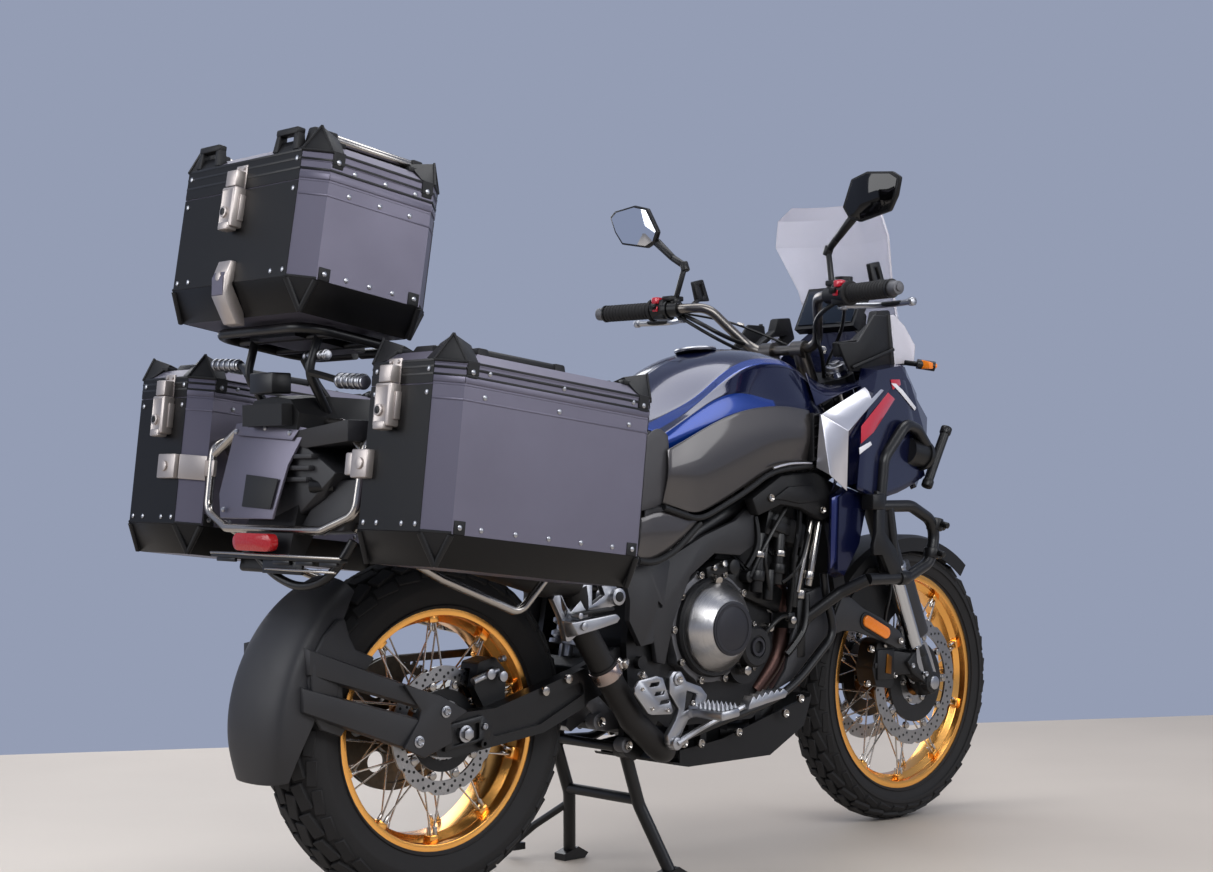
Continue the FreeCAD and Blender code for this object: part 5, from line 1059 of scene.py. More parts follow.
# %% Clear screen
# Clear acrylic has faint scratches that break the highlight.
tree, shader = new_finish("clear_acrylic_screen")
place = add_node(tree, "TexCoord").outputs["Object"]
haze = add_node(tree, "TexNoise", {"Vector": place, "Scale": 14.0, "Detail": 3.0})
gloss = add_node(tree, "MapRange", {"Value": haze.outputs["Fac"], "To Min": 0.05, "To Max": 0.16})
feed(shader, {"Base Color": hex_colour("f6f4fb"), "Transmission Weight": 0.6, "IOR": 1.3,
    "Roughness": gloss.outputs["Result"]})
refinish("windscreen", "clear_acrylic_screen")
print("body panels placed")

# %% [markdown]
# ## Flat plates and moulded lumps
# Brackets are cut from plate, and caps are moulded lumps with flat faces. A plate starts as a filled circle
# whose points are moved to its drawn outline and then extruded. A lump starts the same way and closes with a
# convex hull.

# %% Plates and hulls
def plate(outline, low, high, edge=1.0, holes=()):
    """An outline of (x, z) points between two y values in mm, with holes of the same kind."""
    thing = thicken(drawn([(x, low, z) for x, z in outline]), (0, high - low, 0))
    for hole in holes:
        cutter = plate(hole, low - 4, high + 4, edge=0)
        modify(thing, "BOOLEAN", object=cutter, operation="DIFFERENCE", solver="EXACT")
        bpy.data.objects.remove(cutter)
    if edge:
        modify(thing, "BEVEL", width=edge / 1000, segments=2, limit_method="ANGLE", angle_limit=radians(40))
    return thing


def pill(centre, length, width, tilt, steps=9):
    """A bar with round ends as (x, z) points, tilted down forwards."""
    points = []
    for end in (1, -1):
        for step in range(steps):
            angle = radians(90 - 180 * step / (steps - 1)) + (0 if end > 0 else pi)
            along, up = end * (length - width) / 2 + width / 2 * cos(angle), width / 2 * sin(angle)
            points.append((centre[0] + along * cos(tilt) + up * sin(tilt),
                centre[1] - along * sin(tilt) + up * cos(tilt)))
    return points


def lump(points, edge=2.0):
    """The convex body round a few points in mm, with softened edges."""
    thing = edit_all(drawn(points, "NOTHING"), (bpy.ops.mesh.convex_hull, {}))
    if edge:
        modify(thing, "BEVEL", width=edge / 1000, segments=2, limit_method="ANGLE", angle_limit=radians(25))
    return thing


def tapered(foot, top, edge=2.0):
    """A lump between two level rectangles, each given as (x from, x to, y from, y to, z) in mm."""
    return lump([(x, y, z) for x_from, x_to, y_from, y_to, z in (foot, top) for x, y in ((x_from, y_from),
        (x_to, y_from), (x_to, y_to), (x_from, y_to))], edge)


# %% Rear end of the tank
# A moulded panel closes the tank above the seat's nose, so that no open shell shows from behind.
end_panel = lump([(x, side * y, z) for x in (462, 477) for side in (1, -1) for y, z in ((0, 920), (56, 916),
    (112, 903), (150, 894), (174, 887), (181, 876), (176, 800), (150, 762))], 3)
hand_over(end_panel, "tank_end_panel", "black_moulded_plastic", smooth=25)

# %% [markdown]
# ## Case fittings
# Large moulded caps close the upper corners and stand a little above the lid, with lashing handles and a
# silver roll bar between them. Clamps of polished sheet hold the side cases to the rack: one wraps round the
# left case's inner bevel, and the other locks the right case beside the tail.

# %% Corner caps, lashing handles and roll bars
for case, (_, _, length, width, height, lid_height, foot, *_) in case_table.items():
    half = width / 2
    top = height - TOP_HEIGHT
    drop = TOP_DROP
    apex = (drop - 2, -half + drop - 2, height + 26)
    triangle = [(-2, -half + CHAMFER, top), (CHAMFER, -half - 2, top), apex]
    cap = lump(triangle + [(CHAMFER + 26, -half + 2, top + 4), (CHAMFER + 34, -half + drop + 8, height + 14),
        (2, -half + CHAMFER + 26, top + 4), (drop + 8, -half + CHAMFER + 34, height + 14),
        (drop + 44, -half + drop + 42, height + 4), (drop + 44, -half + drop + 42, height - 8)], 1.5)
    frame_high = [bar(triangle[spot - 1], triangle[spot], 2.4, sides=8) for spot in range(3)]
    flange = block((CHAMFER + 2, -half - 2.6, top - 20), (CHAMFER + 26, -half + 2, top + 3), edge=1.2)
    fit(case, "corner_caps", four_ways(join([cap, flange] + frame_high), length), "black_moulded_plastic",
        on_lid=True, smooth=20)
    frame_low = bars([((0, -half + CHAMFER, foot + 1), (CHAMFER, -half, foot + 1), 3.2),
        ((2, -half + CHAMFER, foot), (FOOT_DROP, -half + FOOT_DROP - 1, 3), 3.4), ((CHAMFER, -half + 2, foot),
        (FOOT_DROP, -half + FOOT_DROP - 1, 3), 3.4)], sides=10)
    fit(case, "foot_frames", four_ways(join(frame_low), length), "black_moulded_plastic")
    seam = height - lid_height
    # The three black lines round the lid are painted shade along its pressed lines.
    rib_shade_lines = [rib_line(length, width, seam + share * (top - seam), 1.8, 4) for share in (0.36, 0.68, 0.95)]
    fit(case, "lid_painted_shade_lines", join(rib_shade_lines), "control_plastic", on_lid=True)
    handles = []
    if case == "topcase":
        for y in (-half + 92, half - 92):
            arch = [block((-1, y - 32, height + 12), (17, y + 32, height + 24), edge=3)]
            arch += [tapered((0, 18, y + way * 22, y + way * 38, height - 16), (1, 16, y + way * 20,
                y + way * 30, height + 23)) for way in (1, -1)]
            handles += arch + [lump([(0, y - 38, height - 20), (24, y - 38, height - 8),
                (24, y + 38, height - 8), (0, y + 38, height - 20), (10, y + 28, height + 4),
                (10, y - 28, height + 4)])]
        for side in (1, -1):
            y = side * 168
            for x, far in ((16, 70), (226, 254)):
                handles.append(tapered((x, far, y - 14, y + 14, height - 3),
                    (x + 3, far - 3, y - 10, y + 10, height + 26), 3))
        roll = join([bar((60, side * 168, height + 16), (230, side * 168, height + 16), 9, edge=1)
            for side in (1, -1)])
        fit(case, "roll_bars", roll, "brushed_stainless", on_lid=True)
    else:
        for x in (140, 314):
            handles.append(tapered((x, x + 30, -16, 16, height - 3), (x + 4, x + 26, -11, 11, height + 26),
                3))
        handles.append(bar((166, 0, height + 16), (318, 0, height + 16), 10, edge=1))
        for x in (30, length - 60):
            handles += [lump([(x, -34, height - 10), (x + 30, -34, height - 2), (x + 30, 34, height - 2),
                (x, 34, height - 10), (x + 12, 26, height + 14), (x + 12, -26, height + 14)])]
    fit(case, "lid_handles", join(handles), "black_moulded_plastic", on_lid=True, smooth=30)

# %% Release plate of the top case, clamps of the side cases
release = plate([(1, 92), (-12, 92), (-20, 62), (-17, 28), (14, -15), (34, -15), (28, 8), (-3, 52), (1, 60)],
    -20, 20, 2.5)
release_lock = bar((-19, 0, 62), (-22, 0, 62), 8, edge=0.8)
fit("topcase", "release_plate", join([release, release_lock]), "satin_latch_steel")
clamp = [block((-16, 56, 138), (2, 100, 186), edge=3), block((-12, 98, 143), (34, 122, 181), edge=3),
    bar((-16, 74, 162), (-20, 74, 162), 10, edge=1)]
fit("pannier_right", "clamp", join(clamp), "satin_latch_steel")
strap = [block((-12, -80, 138), (2, -20, 184), edge=2), bar((-12, -46, 161), (-16, -46, 161), 10, edge=1),
    facet([(-2, -82, 138), (-2, -82, 184), (35, -118.5, 184), (35, -118.5, 138)][::-1], 4),
    block((30, -150, 146), (38, -117, 176), edge=1.5)]
fit("pannier_left", "strap", join(strap), "satin_latch_steel")

# %% [markdown]
# ## Tail
# Behind the seat the plate board hangs from the tail cover inside the rack's hoop. The board is bent sheet
# with a blank recess for the plate. Under it a dark slotted bracket with bright edges carries the red
# reflector. The angular covers on the right hide the silencer's outlet.

# %% Plate board, reflector and brackets
def board_x(z):
    """The board leans forwards towards its top."""
    return -358 + (z - 765) * 0.25


def board_point(y, z, proud=0.0):
    """A point on the board's face or proud of it, in mm."""
    return (board_x(z) - proud, y, z)


board = facet([board_point(y, z) for y, z in ((134, 778), (127, 905), (40, 911), (-100, 893), (-66, 829),
    (-52, 735), (114, 735))], 5)
recess = facet([board_point(y, z, 5) for y, z in ((51, 813), (-52, 805), (-47, 752), (44, 756))], 1.5)
fold = facet([board_point(y, z, 5) for y, z in ((112, 884), (108, 905), (-84, 890), (-70, 872))], 3)
hand_over(join([board, fold]), "plate_board", "case_sheet_anodised", smooth=25)
hand_over(recess, "plate_recess", "black_moulded_plastic", smooth=25)
board_bolts = [rivet(board_point(y, z, 5), (-1, 0, 0.2), 5, 4) for y, z in ((112, 890), (-60, 885),
    (100, 750), (20, 895))]
hand_over(join(board_bolts), "plate_board_bolts", "forged_alloy")
covers = [lump([(x, y, z) for x in (-330, -200) for y, z in ((9, 880), (-226, 905), (-226, 868), (-98, 858))],
    3), lump([(-326, -92, 864), (-320, -178, 815), (-310, -130, 770), (-322, -52, 732), (-330, 0, 735),
    (-330, -20, 860), (-200, -92, 864), (-200, -178, 815), (-200, -130, 770), (-200, -52, 732)], 3),
    lump([(x, y, z) for shift in (0, 1) for x, y, z in ((-300 + 100 * shift, -236, 806),
    (-300 + 100 * shift, -120, 800), (-322 + 122 * shift, -60, 706), (-322 + 122 * shift, -200, 716))], 4)]
for step in range(3):
    z = 852 - step * 20
    covers.append(block((-336, -128 + step * 8, z - 12), (-318, -60 + step * 8, z - 4), edge=1.5))
hand_over(join(covers), "tail_side_covers", "dark_grey_plastic", smooth=25)
lens = lump([(x, y, z) for x in (-373, -356) for y, z in pill((1.5, 694), 120, 31, 0)], 3)


def lens_plastic(name, colour):
    """Coloured lens plastic with the small ribs of a reflector behind its face, and a faint painted highlight
    of white towards each rib's edge.
    """
    tree, shader = new_finish(name)
    place = add_node(tree, "TexCoord").outputs["Object"]
    cells = add_node(tree, "TexVoronoi", {"Vector": place, "Scale": 260.0}).outputs["Distance"]
    # White mixed in by distance within each cell is a painted highlight on the reflector's ribs.
    glint_share = add_node(tree, "Math", {0: cells, 1: 0.03}, operation="MULTIPLY")
    tone = add_node(tree, "Mix", {"Factor": glint_share.outputs[0], 6: hex_colour(colour),
        7: hex_colour("ffffff")}, data_type="RGBA")
    bump = add_node(tree, "Bump", {"Strength": 0.2, "Distance": 0.001, "Height": cells})
    feed(shader, {"Base Color": tone.outputs[2], "Normal": bump.outputs["Normal"], "Roughness": 0.12,
        "Coat Weight": 0.4, "Specular IOR Level": 0.3})


lens_plastic("red_reflector_lens", "a4040e")
lens_plastic("amber_reflector_lens", "e87c00")
hand_over(lens, "rear_reflector", "red_reflector_lens", smooth=50)
bracket = [plate([(-362, 664), (-346, 664), (-346, 671), (-362, 671)], -250, 150, 1.0), plate([(-358, 640),
    (-352, 640), (-350, 668), (-356, 668)], -130, -10, 1.0)]
for low, high in ((-240, -190), (-170, -120), (-100, -50), (70, 130)):
    bracket.append(block((-363, low, 657), (-357, high, 664), edge=1))
hand_over(join(bracket), "slotted_bracket", "black_powder_coat")
edges = [bar((-362, -250, 672), (-362, 150, 672), 2.6, edge=0.5, sides=10), bar((-358, -230, 648),
    (-358, -20, 648), 2.6, edge=0.5, sides=10)]
hand_over(join(edges), "bracket_edges", "brushed_stainless")
arc = tube([(-350, 44, 690), (-346, 20, 668), (-342, -30, 632), (-338, -110, 614), (-330, -190, 640),
    (-310, -215, 700)], 8, sides=12)
hand_over(arc, "lower_guard_tube", "black_powder_coat", smooth=60)
knobs = []
for start, end, radius in (((-300, 148, 1012), (-300, 236, 1017), 12), ((-296, -153, 974), (-296, -232, 969),
        14), ((-300, -60, 1019), (-300, -128, 1020), 10)):
    first, last = Vector(start), Vector(end)
    knobs.append(bar(start, end, radius * 0.8, edge=1))
    for share in (0.1, 0.3, 0.5, 0.7, 0.9):
        middle = first.lerp(last, share)
        way = (last - first).normalized()
        knobs.append(bar(middle - way * 3, middle + way * 3, radius, edge=1.2))
hand_over(join(knobs), "rack_adjusters", "forged_alloy")
arms = [tube([(-318, 97, 990), (-306, 120, 1004), (-300, 150, 1012)], 7), tube([(-318, -97, 990),
    (-306, -120, 984), (-296, -155, 974)], 7), block((-348, -25, 955), (-306, 46, 992), edge=3),
    tube([(-318, -97, 992), (-310, -80, 1010), (-300, -64, 1019)], 6)]
hand_over(join(arms), "rack_brackets", "black_powder_coat", smooth=45)

# %% [markdown]
# ## Rear mudguard
# The mudguard is one moulding: a rounded blade close behind the tyre and two forked arms that reach forward
# to the swingarm. The blade is a curved sheet laid out on arcs round the axle, and each arm is a pair of
# tapered bars.

# %% Blade and forked arms
blade_rows = []
for angle, radius, half, skirt in ((127, 366, 66, 34), (134, 376, 82, 48), (146, 386, 91, 72),
        (160, 390, 94, 92), (172, 391, 94, 84), (182, 388, 90, 54), (190, 384, 74, 34)):
    turn = radians(angle)
    line = []
    for share, fall in ((-1.0, skirt), (-1.0, 30), (-0.88, 12), (-0.5, 2), (0, 0), (0.5, 2), (0.88, 12),
            (1.0, 30), (1.0, skirt)):
        reach = radius - fall
        line.append((reach * cos(turn), share * half, REAR_AXLE[2] + reach * sin(turn)))
    blade_rows.append(line)
hugger_blade = sheet(blade_rows, 4, 3, 1.2, outward=(-1, 0, 0.4))
fork = []
for section in (((-322, 462, 512), (-90, 386, 421)), ((-334, 398, 446), (-100, 306, 372))):
    (x_far, low_far, high_far), (x_near, low_near, high_near) = section
    fork.append(lump([(x_far + 4, -84, low_far + 12), (x_far + 4, -84, high_far - 2), (x_far, -84, low_far),
        (x_far, -84, high_far), (x_far, -104, low_far + 4), (x_far, -104, high_far - 4),
        (x_far + 6, -90, low_far + 16), (x_far + 6, -90, high_far - 8), (x_near, -139, low_near),
        (x_near, -139, high_near), (x_near, -148, low_near + 4), (x_near, -148, high_near - 4)], 4))
fork.append(plate([(-322, 452), (-306, 500), (-286, 530), (-258, 556), (-242, 560), (-232, 526), (-218, 503),
    (-176, 486), (-214, 444), (-246, 458), (-246, 414), (-214, 400), (-250, 350), (-292, 366), (-314, 404)],
    -98, -86, 5))
fork.append(plate([(-318, 484), (-296, 494), (-262, 472), (-262, 424), (-286, 414), (-318, 430)], -106, -96,
    4))
fork.append(plate([(-150, 440), (-69, 414), (-5, 381), (-44, 362), (-42, 326), (-105, 304), (-150, 326),
    (-118, 372), (-112, 390)], -148, -139, 2.5))
hugger_piece = join([hugger_blade, pair(*fork)])
hand_over(hugger_piece, "mudguard_with_arms", "dark_grey_plastic", smooth=40)
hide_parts("rear_hugger")
washers = []
for x, z in ((-57, 384), (-118, 335)):
    washers += [bar((x, -147, z), (x, -150, z), 11, edge=0.6), screw((x, -150, z), (0, -1, 0), 7, 5)]
hand_over(pair(*washers), "mudguard_bolts", "forged_alloy")
adjuster = plate([(-46, 357), (39, 369), (62, 344), (54, 322), (-50, 309)], -137, -130, 1.5,
    holes=[[(-30, 348), (30, 356), (30, 326), (-30, 318)]])
hand_over(pair(adjuster), "axle_adjusters", "black_powder_coat")
nut = [bar((-2, -130, 338), (-2, -139, 338), 16, edge=1), bar((-2, -138, 338), (-2, -148, 338), 12, edge=1,
    sides=6), screw((42, -137, 348), (0, -1, 0), 6, 5)]
hand_over(pair(*nut), "rear_axle_nuts", "forged_alloy")
caliper_bits = [bar((-2 + x, -111, z), (-2 + x, -118, z), 10, edge=1) for x, z in ((78, 440), (108, 434))]
caliper_bits += [bar((40, -106, 428), (100, -106, 446), 7, edge=1), screw((104, -110, 466), (0.3, -1, 0.3), 6,
    10)]
hand_over(join(caliper_bits), "rear_caliper_bolts", "forged_alloy")
print("rear end placed")

# %% [markdown]
# ## Engine's right side
# The clutch cover is a casting on a bolted flange: a black collar, a machined silver cone and a dark flat
# centre, all turned about one axis. Smaller covers, plugs and fittings crowd round it. Turned profiles give
# the round parts and short bars give the bolts, because both are made that way on a lathe.

# %% Turned and bolted covers
CLUTCH = (644, 0, 500)

# Machined metal has fine turning marks, drawn as bands of distance from the axis of the clutch.
tree, shader = new_finish("turned_aluminium")
place = add_node(tree, "TexCoord").outputs["Object"]
middle = add_node(tree, "VectorMath", {0: place, 1: at(*CLUTCH)}, operation="SUBTRACT")
flat = add_node(tree, "VectorMath", {0: middle.outputs["Vector"], 1: (1, 0, 1)}, operation="MULTIPLY")
reach = add_node(tree, "VectorMath", {0: flat.outputs["Vector"]}, operation="LENGTH")
steps = add_node(tree, "Math", {0: reach.outputs["Value"], 1: 900.0}, operation="MULTIPLY")
marks = add_node(tree, "TexNoise", {"W": steps.outputs[0], "Detail": 3.0},
    noise_dimensions="1D").outputs["Fac"]
span = add_node(tree, "MapRange", {"Value": marks, "From Min": 0.3, "From Max": 0.7, "To Min": 0.23,
    "To Max": 0.38})
bump = add_node(tree, "Bump", {"Strength": 0.25, "Distance": 0.0004, "Height": marks})
feed(shader, {"Roughness": span.outputs["Result"], "Normal": bump.outputs["Normal"],
    "Base Color": hex_colour("b9b7b6"), "Metallic": 1.0})
grained("dark_cover_disc", "35353a", "2b2b30", 0.42, metallic=0.6, grain=1.5)
grained("gasket_grey_casting", "6d6d70", "5b5b5e", 0.5, metallic=0.8, grain=1.2, relief=0.4)
grained("heat_tinted_clamp", "a08478", "a9a6a4", 0.2, metallic=1.0, grain=1.2, patch=30)
grained("copper_tinted_pipe", "4a332d", "2c2322", 0.36, metallic=0.9, grain=3)


def scallop(centre, radius, bosses, depth, steps=90):
    """A round outline with a boss at each bolt."""
    points = []
    for step in range(steps):
        angle = 2 * pi * step / steps
        reach = radius + depth * max(0.0, cos(bosses * angle)) ** 3
        points.append((centre[0] + reach * cos(angle), centre[2] + reach * sin(angle)))
    return points


flange = [plate(scallop(CLUTCH, 114, 10, 8), -140, -112, 2.0), plate(scallop((746, 0, 455), 46, 5, 7, 60),
    -150, -112, 2)]
hand_over(join(flange), "clutch_cover_flange", "gasket_grey_casting", smooth=30)
collar = [turned_ring([(-138, 80), (-138, 103), (-150, 103), (-156, 99), (-156, 80)], CLUTCH),
    turned_ring([(-150, 24), (-150, 43), (-172, 43), (-178, 38), (-178, 24)], (746, 0, 455), 48),
    bar((746, -150, 455), (746, -175, 455), 25, sides=36), bar((748, -112, 425), (748, -140, 425), 50,
    sides=40)]
hand_over(join(collar), "cover_collars", "black_engine_enamel", smooth=30)
cone = turned_ring([(-150, 50), (-150, 90), (-160, 92), (-166, 90), (-197, 60), (-200, 57), (-200, 50)],
    CLUTCH, 96)
hand_over(cone, "clutch_cover_cone", "turned_aluminium", smooth=30)
disc = [bar((644, -150, 500), (644, -203, 500), 56, edge=1.5, sides=64), turned_ring([(-200, 44), (-200, 52),
    (-204, 51), (-204, 45)], CLUTCH), turned_ring([(-176, 12), (-176, 20), (-181, 19), (-181, 13)],
    (746, 0, 455), 32)]
hand_over(join(disc), "clutch_cover_disc", "dark_cover_disc", smooth=30)
cover_bolts = bolt_ring((644, 500), -140, 113, 10, 7.5, 9) + bolt_ring((746, 455), -150, 48, 5, 5.5, 6)
cover_bolts.append(bar((725, -140, 407), (725, -170, 407), 11, edge=1, sides=6))
cover_bolts.append(bar((644, -140, 606), (640, -168, 596), 9, edge=1, sides=12))
hand_over(join(cover_bolts), "engine_cover_bolts", "brushed_stainless")
generator = [turned_ring([(112, 2), (112, 96), (140, 96), (146, 90), (168, 74), (174, 66), (174, 2)],
    (745, 0, 440)), plate(scallop((745, 0, 440), 98, 9, 8), 112, 130, 2)]
sprocket_guard = plate([(520, 500), (590, 500), (628, 470), (628, 384), (590, 352), (520, 352)], 121, 136, 3)
left_covers = join(generator + [sprocket_guard])
hand_over(left_covers, "left_engine_covers", "cast_grey_aluminium", smooth=30)
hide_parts("engine_covers")
left_bolts = bolt_ring((745, 440), 130, 101, 9, 7, 7)
for x, z in ((534, 486), (534, 366), (612, 462), (612, 392)):
    left_bolts.append(screw((x, 136, z), (0, 1, 0), 6, 6))
hand_over(join(left_bolts), "left_cover_bolts", "brushed_stainless")

# %% [markdown]
# ## Frame plates and the parts in front of the engine
# A dark pressed plate follows the frame from the pivot to the steering head on each side. Between it and the
# radiator sit the ignition coils, the injectors and their hoses, two silver water pipes and a shield plate.

# %% Spar, panels and shield
spar = plate([(431, 642), (502, 643), (614, 690), (705, 718), (762, 757), (768, 668), (721, 645), (644, 651),
    (574, 608), (526, 520), (500, 432), (476, 437), (460, 520)], -152, -138, 4)
panel = plate([(382, 605), (394, 566), (392, 526), (424, 474), (458, 479), (488, 560), (505, 640),
    (435, 651)], -160, -146, 4, holes=[[(472, 562), (484, 552), (474, 490), (458, 488)]])
under_tank = plate([(718, 764), (809, 812), (917, 819), (1015, 784), (1010, 740), (945, 716), (870, 742),
    (809, 750), (737, 727)], -188, -160, 6)
under_step = plate([(776, 762), (826, 788), (905, 793), (925, 756), (860, 752), (812, 760)], -193, -186, 3)
hand_over(pair(spar, panel), "frame_side_plates", "dark_grey_plastic", smooth=30)
hand_over(pair(under_tank, under_step), "under_tank_covers", "black_moulded_plastic", smooth=30)
cover_screws = [screw((x, y, z), (0, -1, 0), 8, 6) for x, y, z in ((772, -188, 765), (936, -188, 738))]
hand_over(pair(*cover_screws), "frame_plate_screws", "brushed_stainless")
shield = plate([(934, 560), (990, 572), (1013, 469), (887, 372), (826, 352), (868, 399), (888, 470)], -148,
    -138, 4)
hand_over(pair(shield), "engine_shields", "dark_grey_plastic", smooth=30)
guard = tube([(976, -160, 600), (984, -160, 545), (1004, -160, 500), (1007, -160, 462), (960, -160, 425),
    (893, -158, 370), (813, -156, 334), (646, -154, 304), (541, -150, 280)], 9, sides=16)
hand_over(pair(guard), "engine_guard_tubes", "black_powder_coat", smooth=60)
skid_screws = [screw((x, -131, z), (0, -1, 0), 9, 7) for x, z in ((733, 275), (881, 302), (620, 262),
    (930, 330))]
hand_over(pair(*skid_screws), "skid_plate_screws", "brushed_stainless")

# %% Coils, injectors, pipes and hoses
fittings = [block((800, -152, 672), (925, -112, 724), edge=4, turn=(0, 16, 0)), block((812, -160, 690),
    (870, -150, 712), edge=2, turn=(0, 16, 0)), *bars([((770, -150, 566), (790, -145, 690), 13),
    ((771, -150, 590), (775, -149, 612), 17), ((836, -148, 580), (850, -145, 690), 13), ((838, -148, 604),
    (841, -148, 624), 17), ((810, -146, 548), (820, -144, 612), 11), ((882, -150, 530), (899, -146, 640),
    12)], edge=2), block((622, -150, 604), (690, -112, 632), edge=5, turn=(0, -14, 0)), bar((702, -112, 622),
    (702, -154, 622), 16, edge=2), bar((752, -112, 600), (752, -152, 600), 13, edge=2),
    block((862, -160, 486), (884, -112, 520), edge=3), block((902, -150, 420), (930, -110, 560), edge=4),
    block((700, -130, 545), (880, -104, 600), edge=6, turn=(0, 20, 0)), ]
hand_over(join(fittings), "intake_fittings", "control_plastic")
hoses = [tube([(859, -168, 758), (830, -170, 730), (796, -168, 687), (768, -160, 640), (752, -150, 600)], 5),
    tube([(767, -150, 725), (772, -156, 690), (764, -156, 650), (740, -150, 620)], 7), tube([(925, -160, 690),
    (905, -166, 640), (870, -166, 600), (842, -158, 585)], 5.5), tube([(890, -168, 756), (884, -172, 700),
    (868, -168, 640), (874, -160, 560), (870, -150, 504)], 6), tube([(800, -156, 676), (782, -162, 640),
    (796, -160, 600), (812, -150, 560)], 4), tube([(870, -154, 504), (846, -166, 520), (812, -160, 500),
    (800, -150, 480)], 5), tube([(930, -150, 556), (926, -156, 500), (900, -156, 460), (866, -150, 430)], 8),
    ]
hand_over(join(hoses), "engine_hoses", "control_plastic", smooth=60)
rods = bars([((950, -168, 712), (916, -168, 575), 7.5), ((935, -160, 716), (890, -160, 562), 6),
    ((913, -170, 590), (917, -170, 606), 11), ((775, -152, 640), (777, -152, 652), 14), ((843, -149, 640),
    (845, -149, 652), 14), ((870, -150, 504), (868, -170, 504), 8), ((813, -130, 491), (812, -156, 491), 9),
    ((905, -152, 548), (907, -152, 566), 12), ((668, -150, 628), (668, -158, 630), 7), ((640, -148, 622),
    (640, -157, 622), 6)], edge=1)
hand_over(join(rods), "silver_fittings", "brushed_stainless", smooth=40)
header = tube([(930, -60, 600), (944, -66, 520), (940, -72, 440), (905, -78, 380), (850, -84, 340)], 21,
    sides=24)
header_twin = tube([(930, 40, 600), (944, 40, 520), (940, 34, 440), (905, 20, 380), (850, 10, 340)], 21,
    sides=24)
near_header = tube([(880, -112, 580), (892, -112, 504), (886, -112, 440), (860, -110, 396), (812, -104, 352)],
    19, sides=24)
hand_over(join([header, header_twin, near_header]), "front_headers", "copper_tinted_pipe", smooth=60)

# %% [markdown]
# ## Footrests and brackets
# The footrest brackets are bright castings with openings. The passenger's bracket carries a folded peg under
# the side case, the rider's bracket carries a slotted heel plate and a toothed peg. Castings of this kind are
# plates with rounded edges and holes, and each is drawn from its outline.

# %% Passenger's and rider's brackets
passenger = [plate([(174, 606), (163, 579), (185, 541), (197, 499), (207, 499), (236, 517), (250, 534),
    (254, 556), (300, 556), (328, 562), (342, 579), (330, 594), (316, 604), (300, 640), (270, 640),
    (296, 582), (262, 564), (263, 640), (240, 640), (236, 577), (208, 554), (196, 566)], -192, -178, 3,
    holes=[[(182, 586), (200, 557), (195, 545), (185, 562)]]), bar((325, -176, 578), (325, -202, 578), 17,
    edge=2, sides=28), bar((325, -150, 578), (325, -178, 578), 14, edge=1, sides=24), ]
hand_over(pair(*passenger), "passenger_brackets", "forged_alloy", smooth=30)
passenger_peg = [lump([(183, -192, 540), (235, -192, 542), (238, -192, 522), (195, -192, 505),
    (183, -222, 536), (226, -222, 540), (296, -226, 548), (310, -222, 540), (300, -222, 530),
    (250, -222, 520), (200, -222, 512)], 3), bar((205, -200, 548), (205, -224, 548), 6, edge=1),
    bar((212, -218, 528), (212, -228, 528), 8, edge=1)]
hand_over(pair(*passenger_peg), "passenger_pegs", "forged_alloy", smooth=30)
peg_ring = bar((325, -200, 578), (325, -204, 578), 10, edge=1, sides=24)
pads = [block((206, -220, 551), (296, -200, 557), edge=2, turn=(0, -4, 0))]
hand_over(pair(peg_ring, *pads), "passenger_peg_pads", "black_moulded_plastic")
heel = plate([(352, 402), (363, 415), (410, 421), (428, 416), (457, 349), (451, 343), (398, 346), (388, 350),
    (352, 391)], -217, -211, 2.0, holes=[[(391, 400), (396, 408), (420, 409), (416, 401)], [(405, 382),
    (409, 390), (434, 391), (430, 383)], [(419, 364), (423, 372), (448, 373), (444, 365)]])
bracket = [plate([(453, 383), (453, 414), (464, 426), (486, 424), (500, 404), (542, 390), (560, 372),
    (552, 344), (505, 326), (480, 290), (464, 272), (450, 284), (448, 302), (470, 330), (480, 350),
    (462, 372)], -211, -198, 3, holes=[[(500, 384), (530, 376), (520, 352), (494, 344)], [(470, 408),
    (482, 408), (482, 398), (470, 398)]]), bar((475, -196, 410), (475, -216, 410), 13, edge=2, sides=28),
    bar((467, -196, 284), (467, -220, 284), 13, edge=2), bar((492, -134, 396), (492, -200, 396), 13, edge=1),
    bar((448, -134, 380), (448, -200, 380), 9, edge=1), ]
pedal = tube([(467, -218, 284), (500, -222, 300), (560, -228, 322), (640, -236, 345), (700, -240, 362)], 6,
    sides=14)
toe = plate([(636, 340), (640, 352), (652, 366), (660, 358), (670, 369), (678, 361), (688, 372), (696, 364),
    (706, 374), (714, 366), (724, 375), (732, 367), (742, 375), (756, 366), (748, 356), (690, 348)], -252,
    -226, 1.0)
hand_over(pair(heel, *bracket), "rider_brackets", "forged_alloy", smooth=30)
hand_over(pair(pedal, toe), "foot_pedals", "forged_alloy", smooth=40)
peg = [block((508, -300, 334), (560, -209, 352), edge=4, turn=(0, -6, 0)), lump([(505, -209, 356),
    (548, -209, 356), (505, -209, 330), (548, -209, 330), (520, -240, 352), (540, -240, 352),
    (520, -240, 334), (540, -240, 334)], 2)]
for y in range(-296, -214, 12):
    for x in (512, 524, 536, 548):
        base = 350 + (x - 508) * 0.1
        peg.append(lump([(x, y, base), (x + 8, y, base), (x + 8, y + 7, base), (x, y + 7, base),
            (x + 4, y + 3.5, base + 11)], 0))
hand_over(pair(*peg), "rider_pegs", "forged_alloy", smooth=25)
plate_screws = [screw((x, -217, z), (0, -1, 0), 4, 3) for x, z in ((371, 398), (398, 358), (440, 352))]
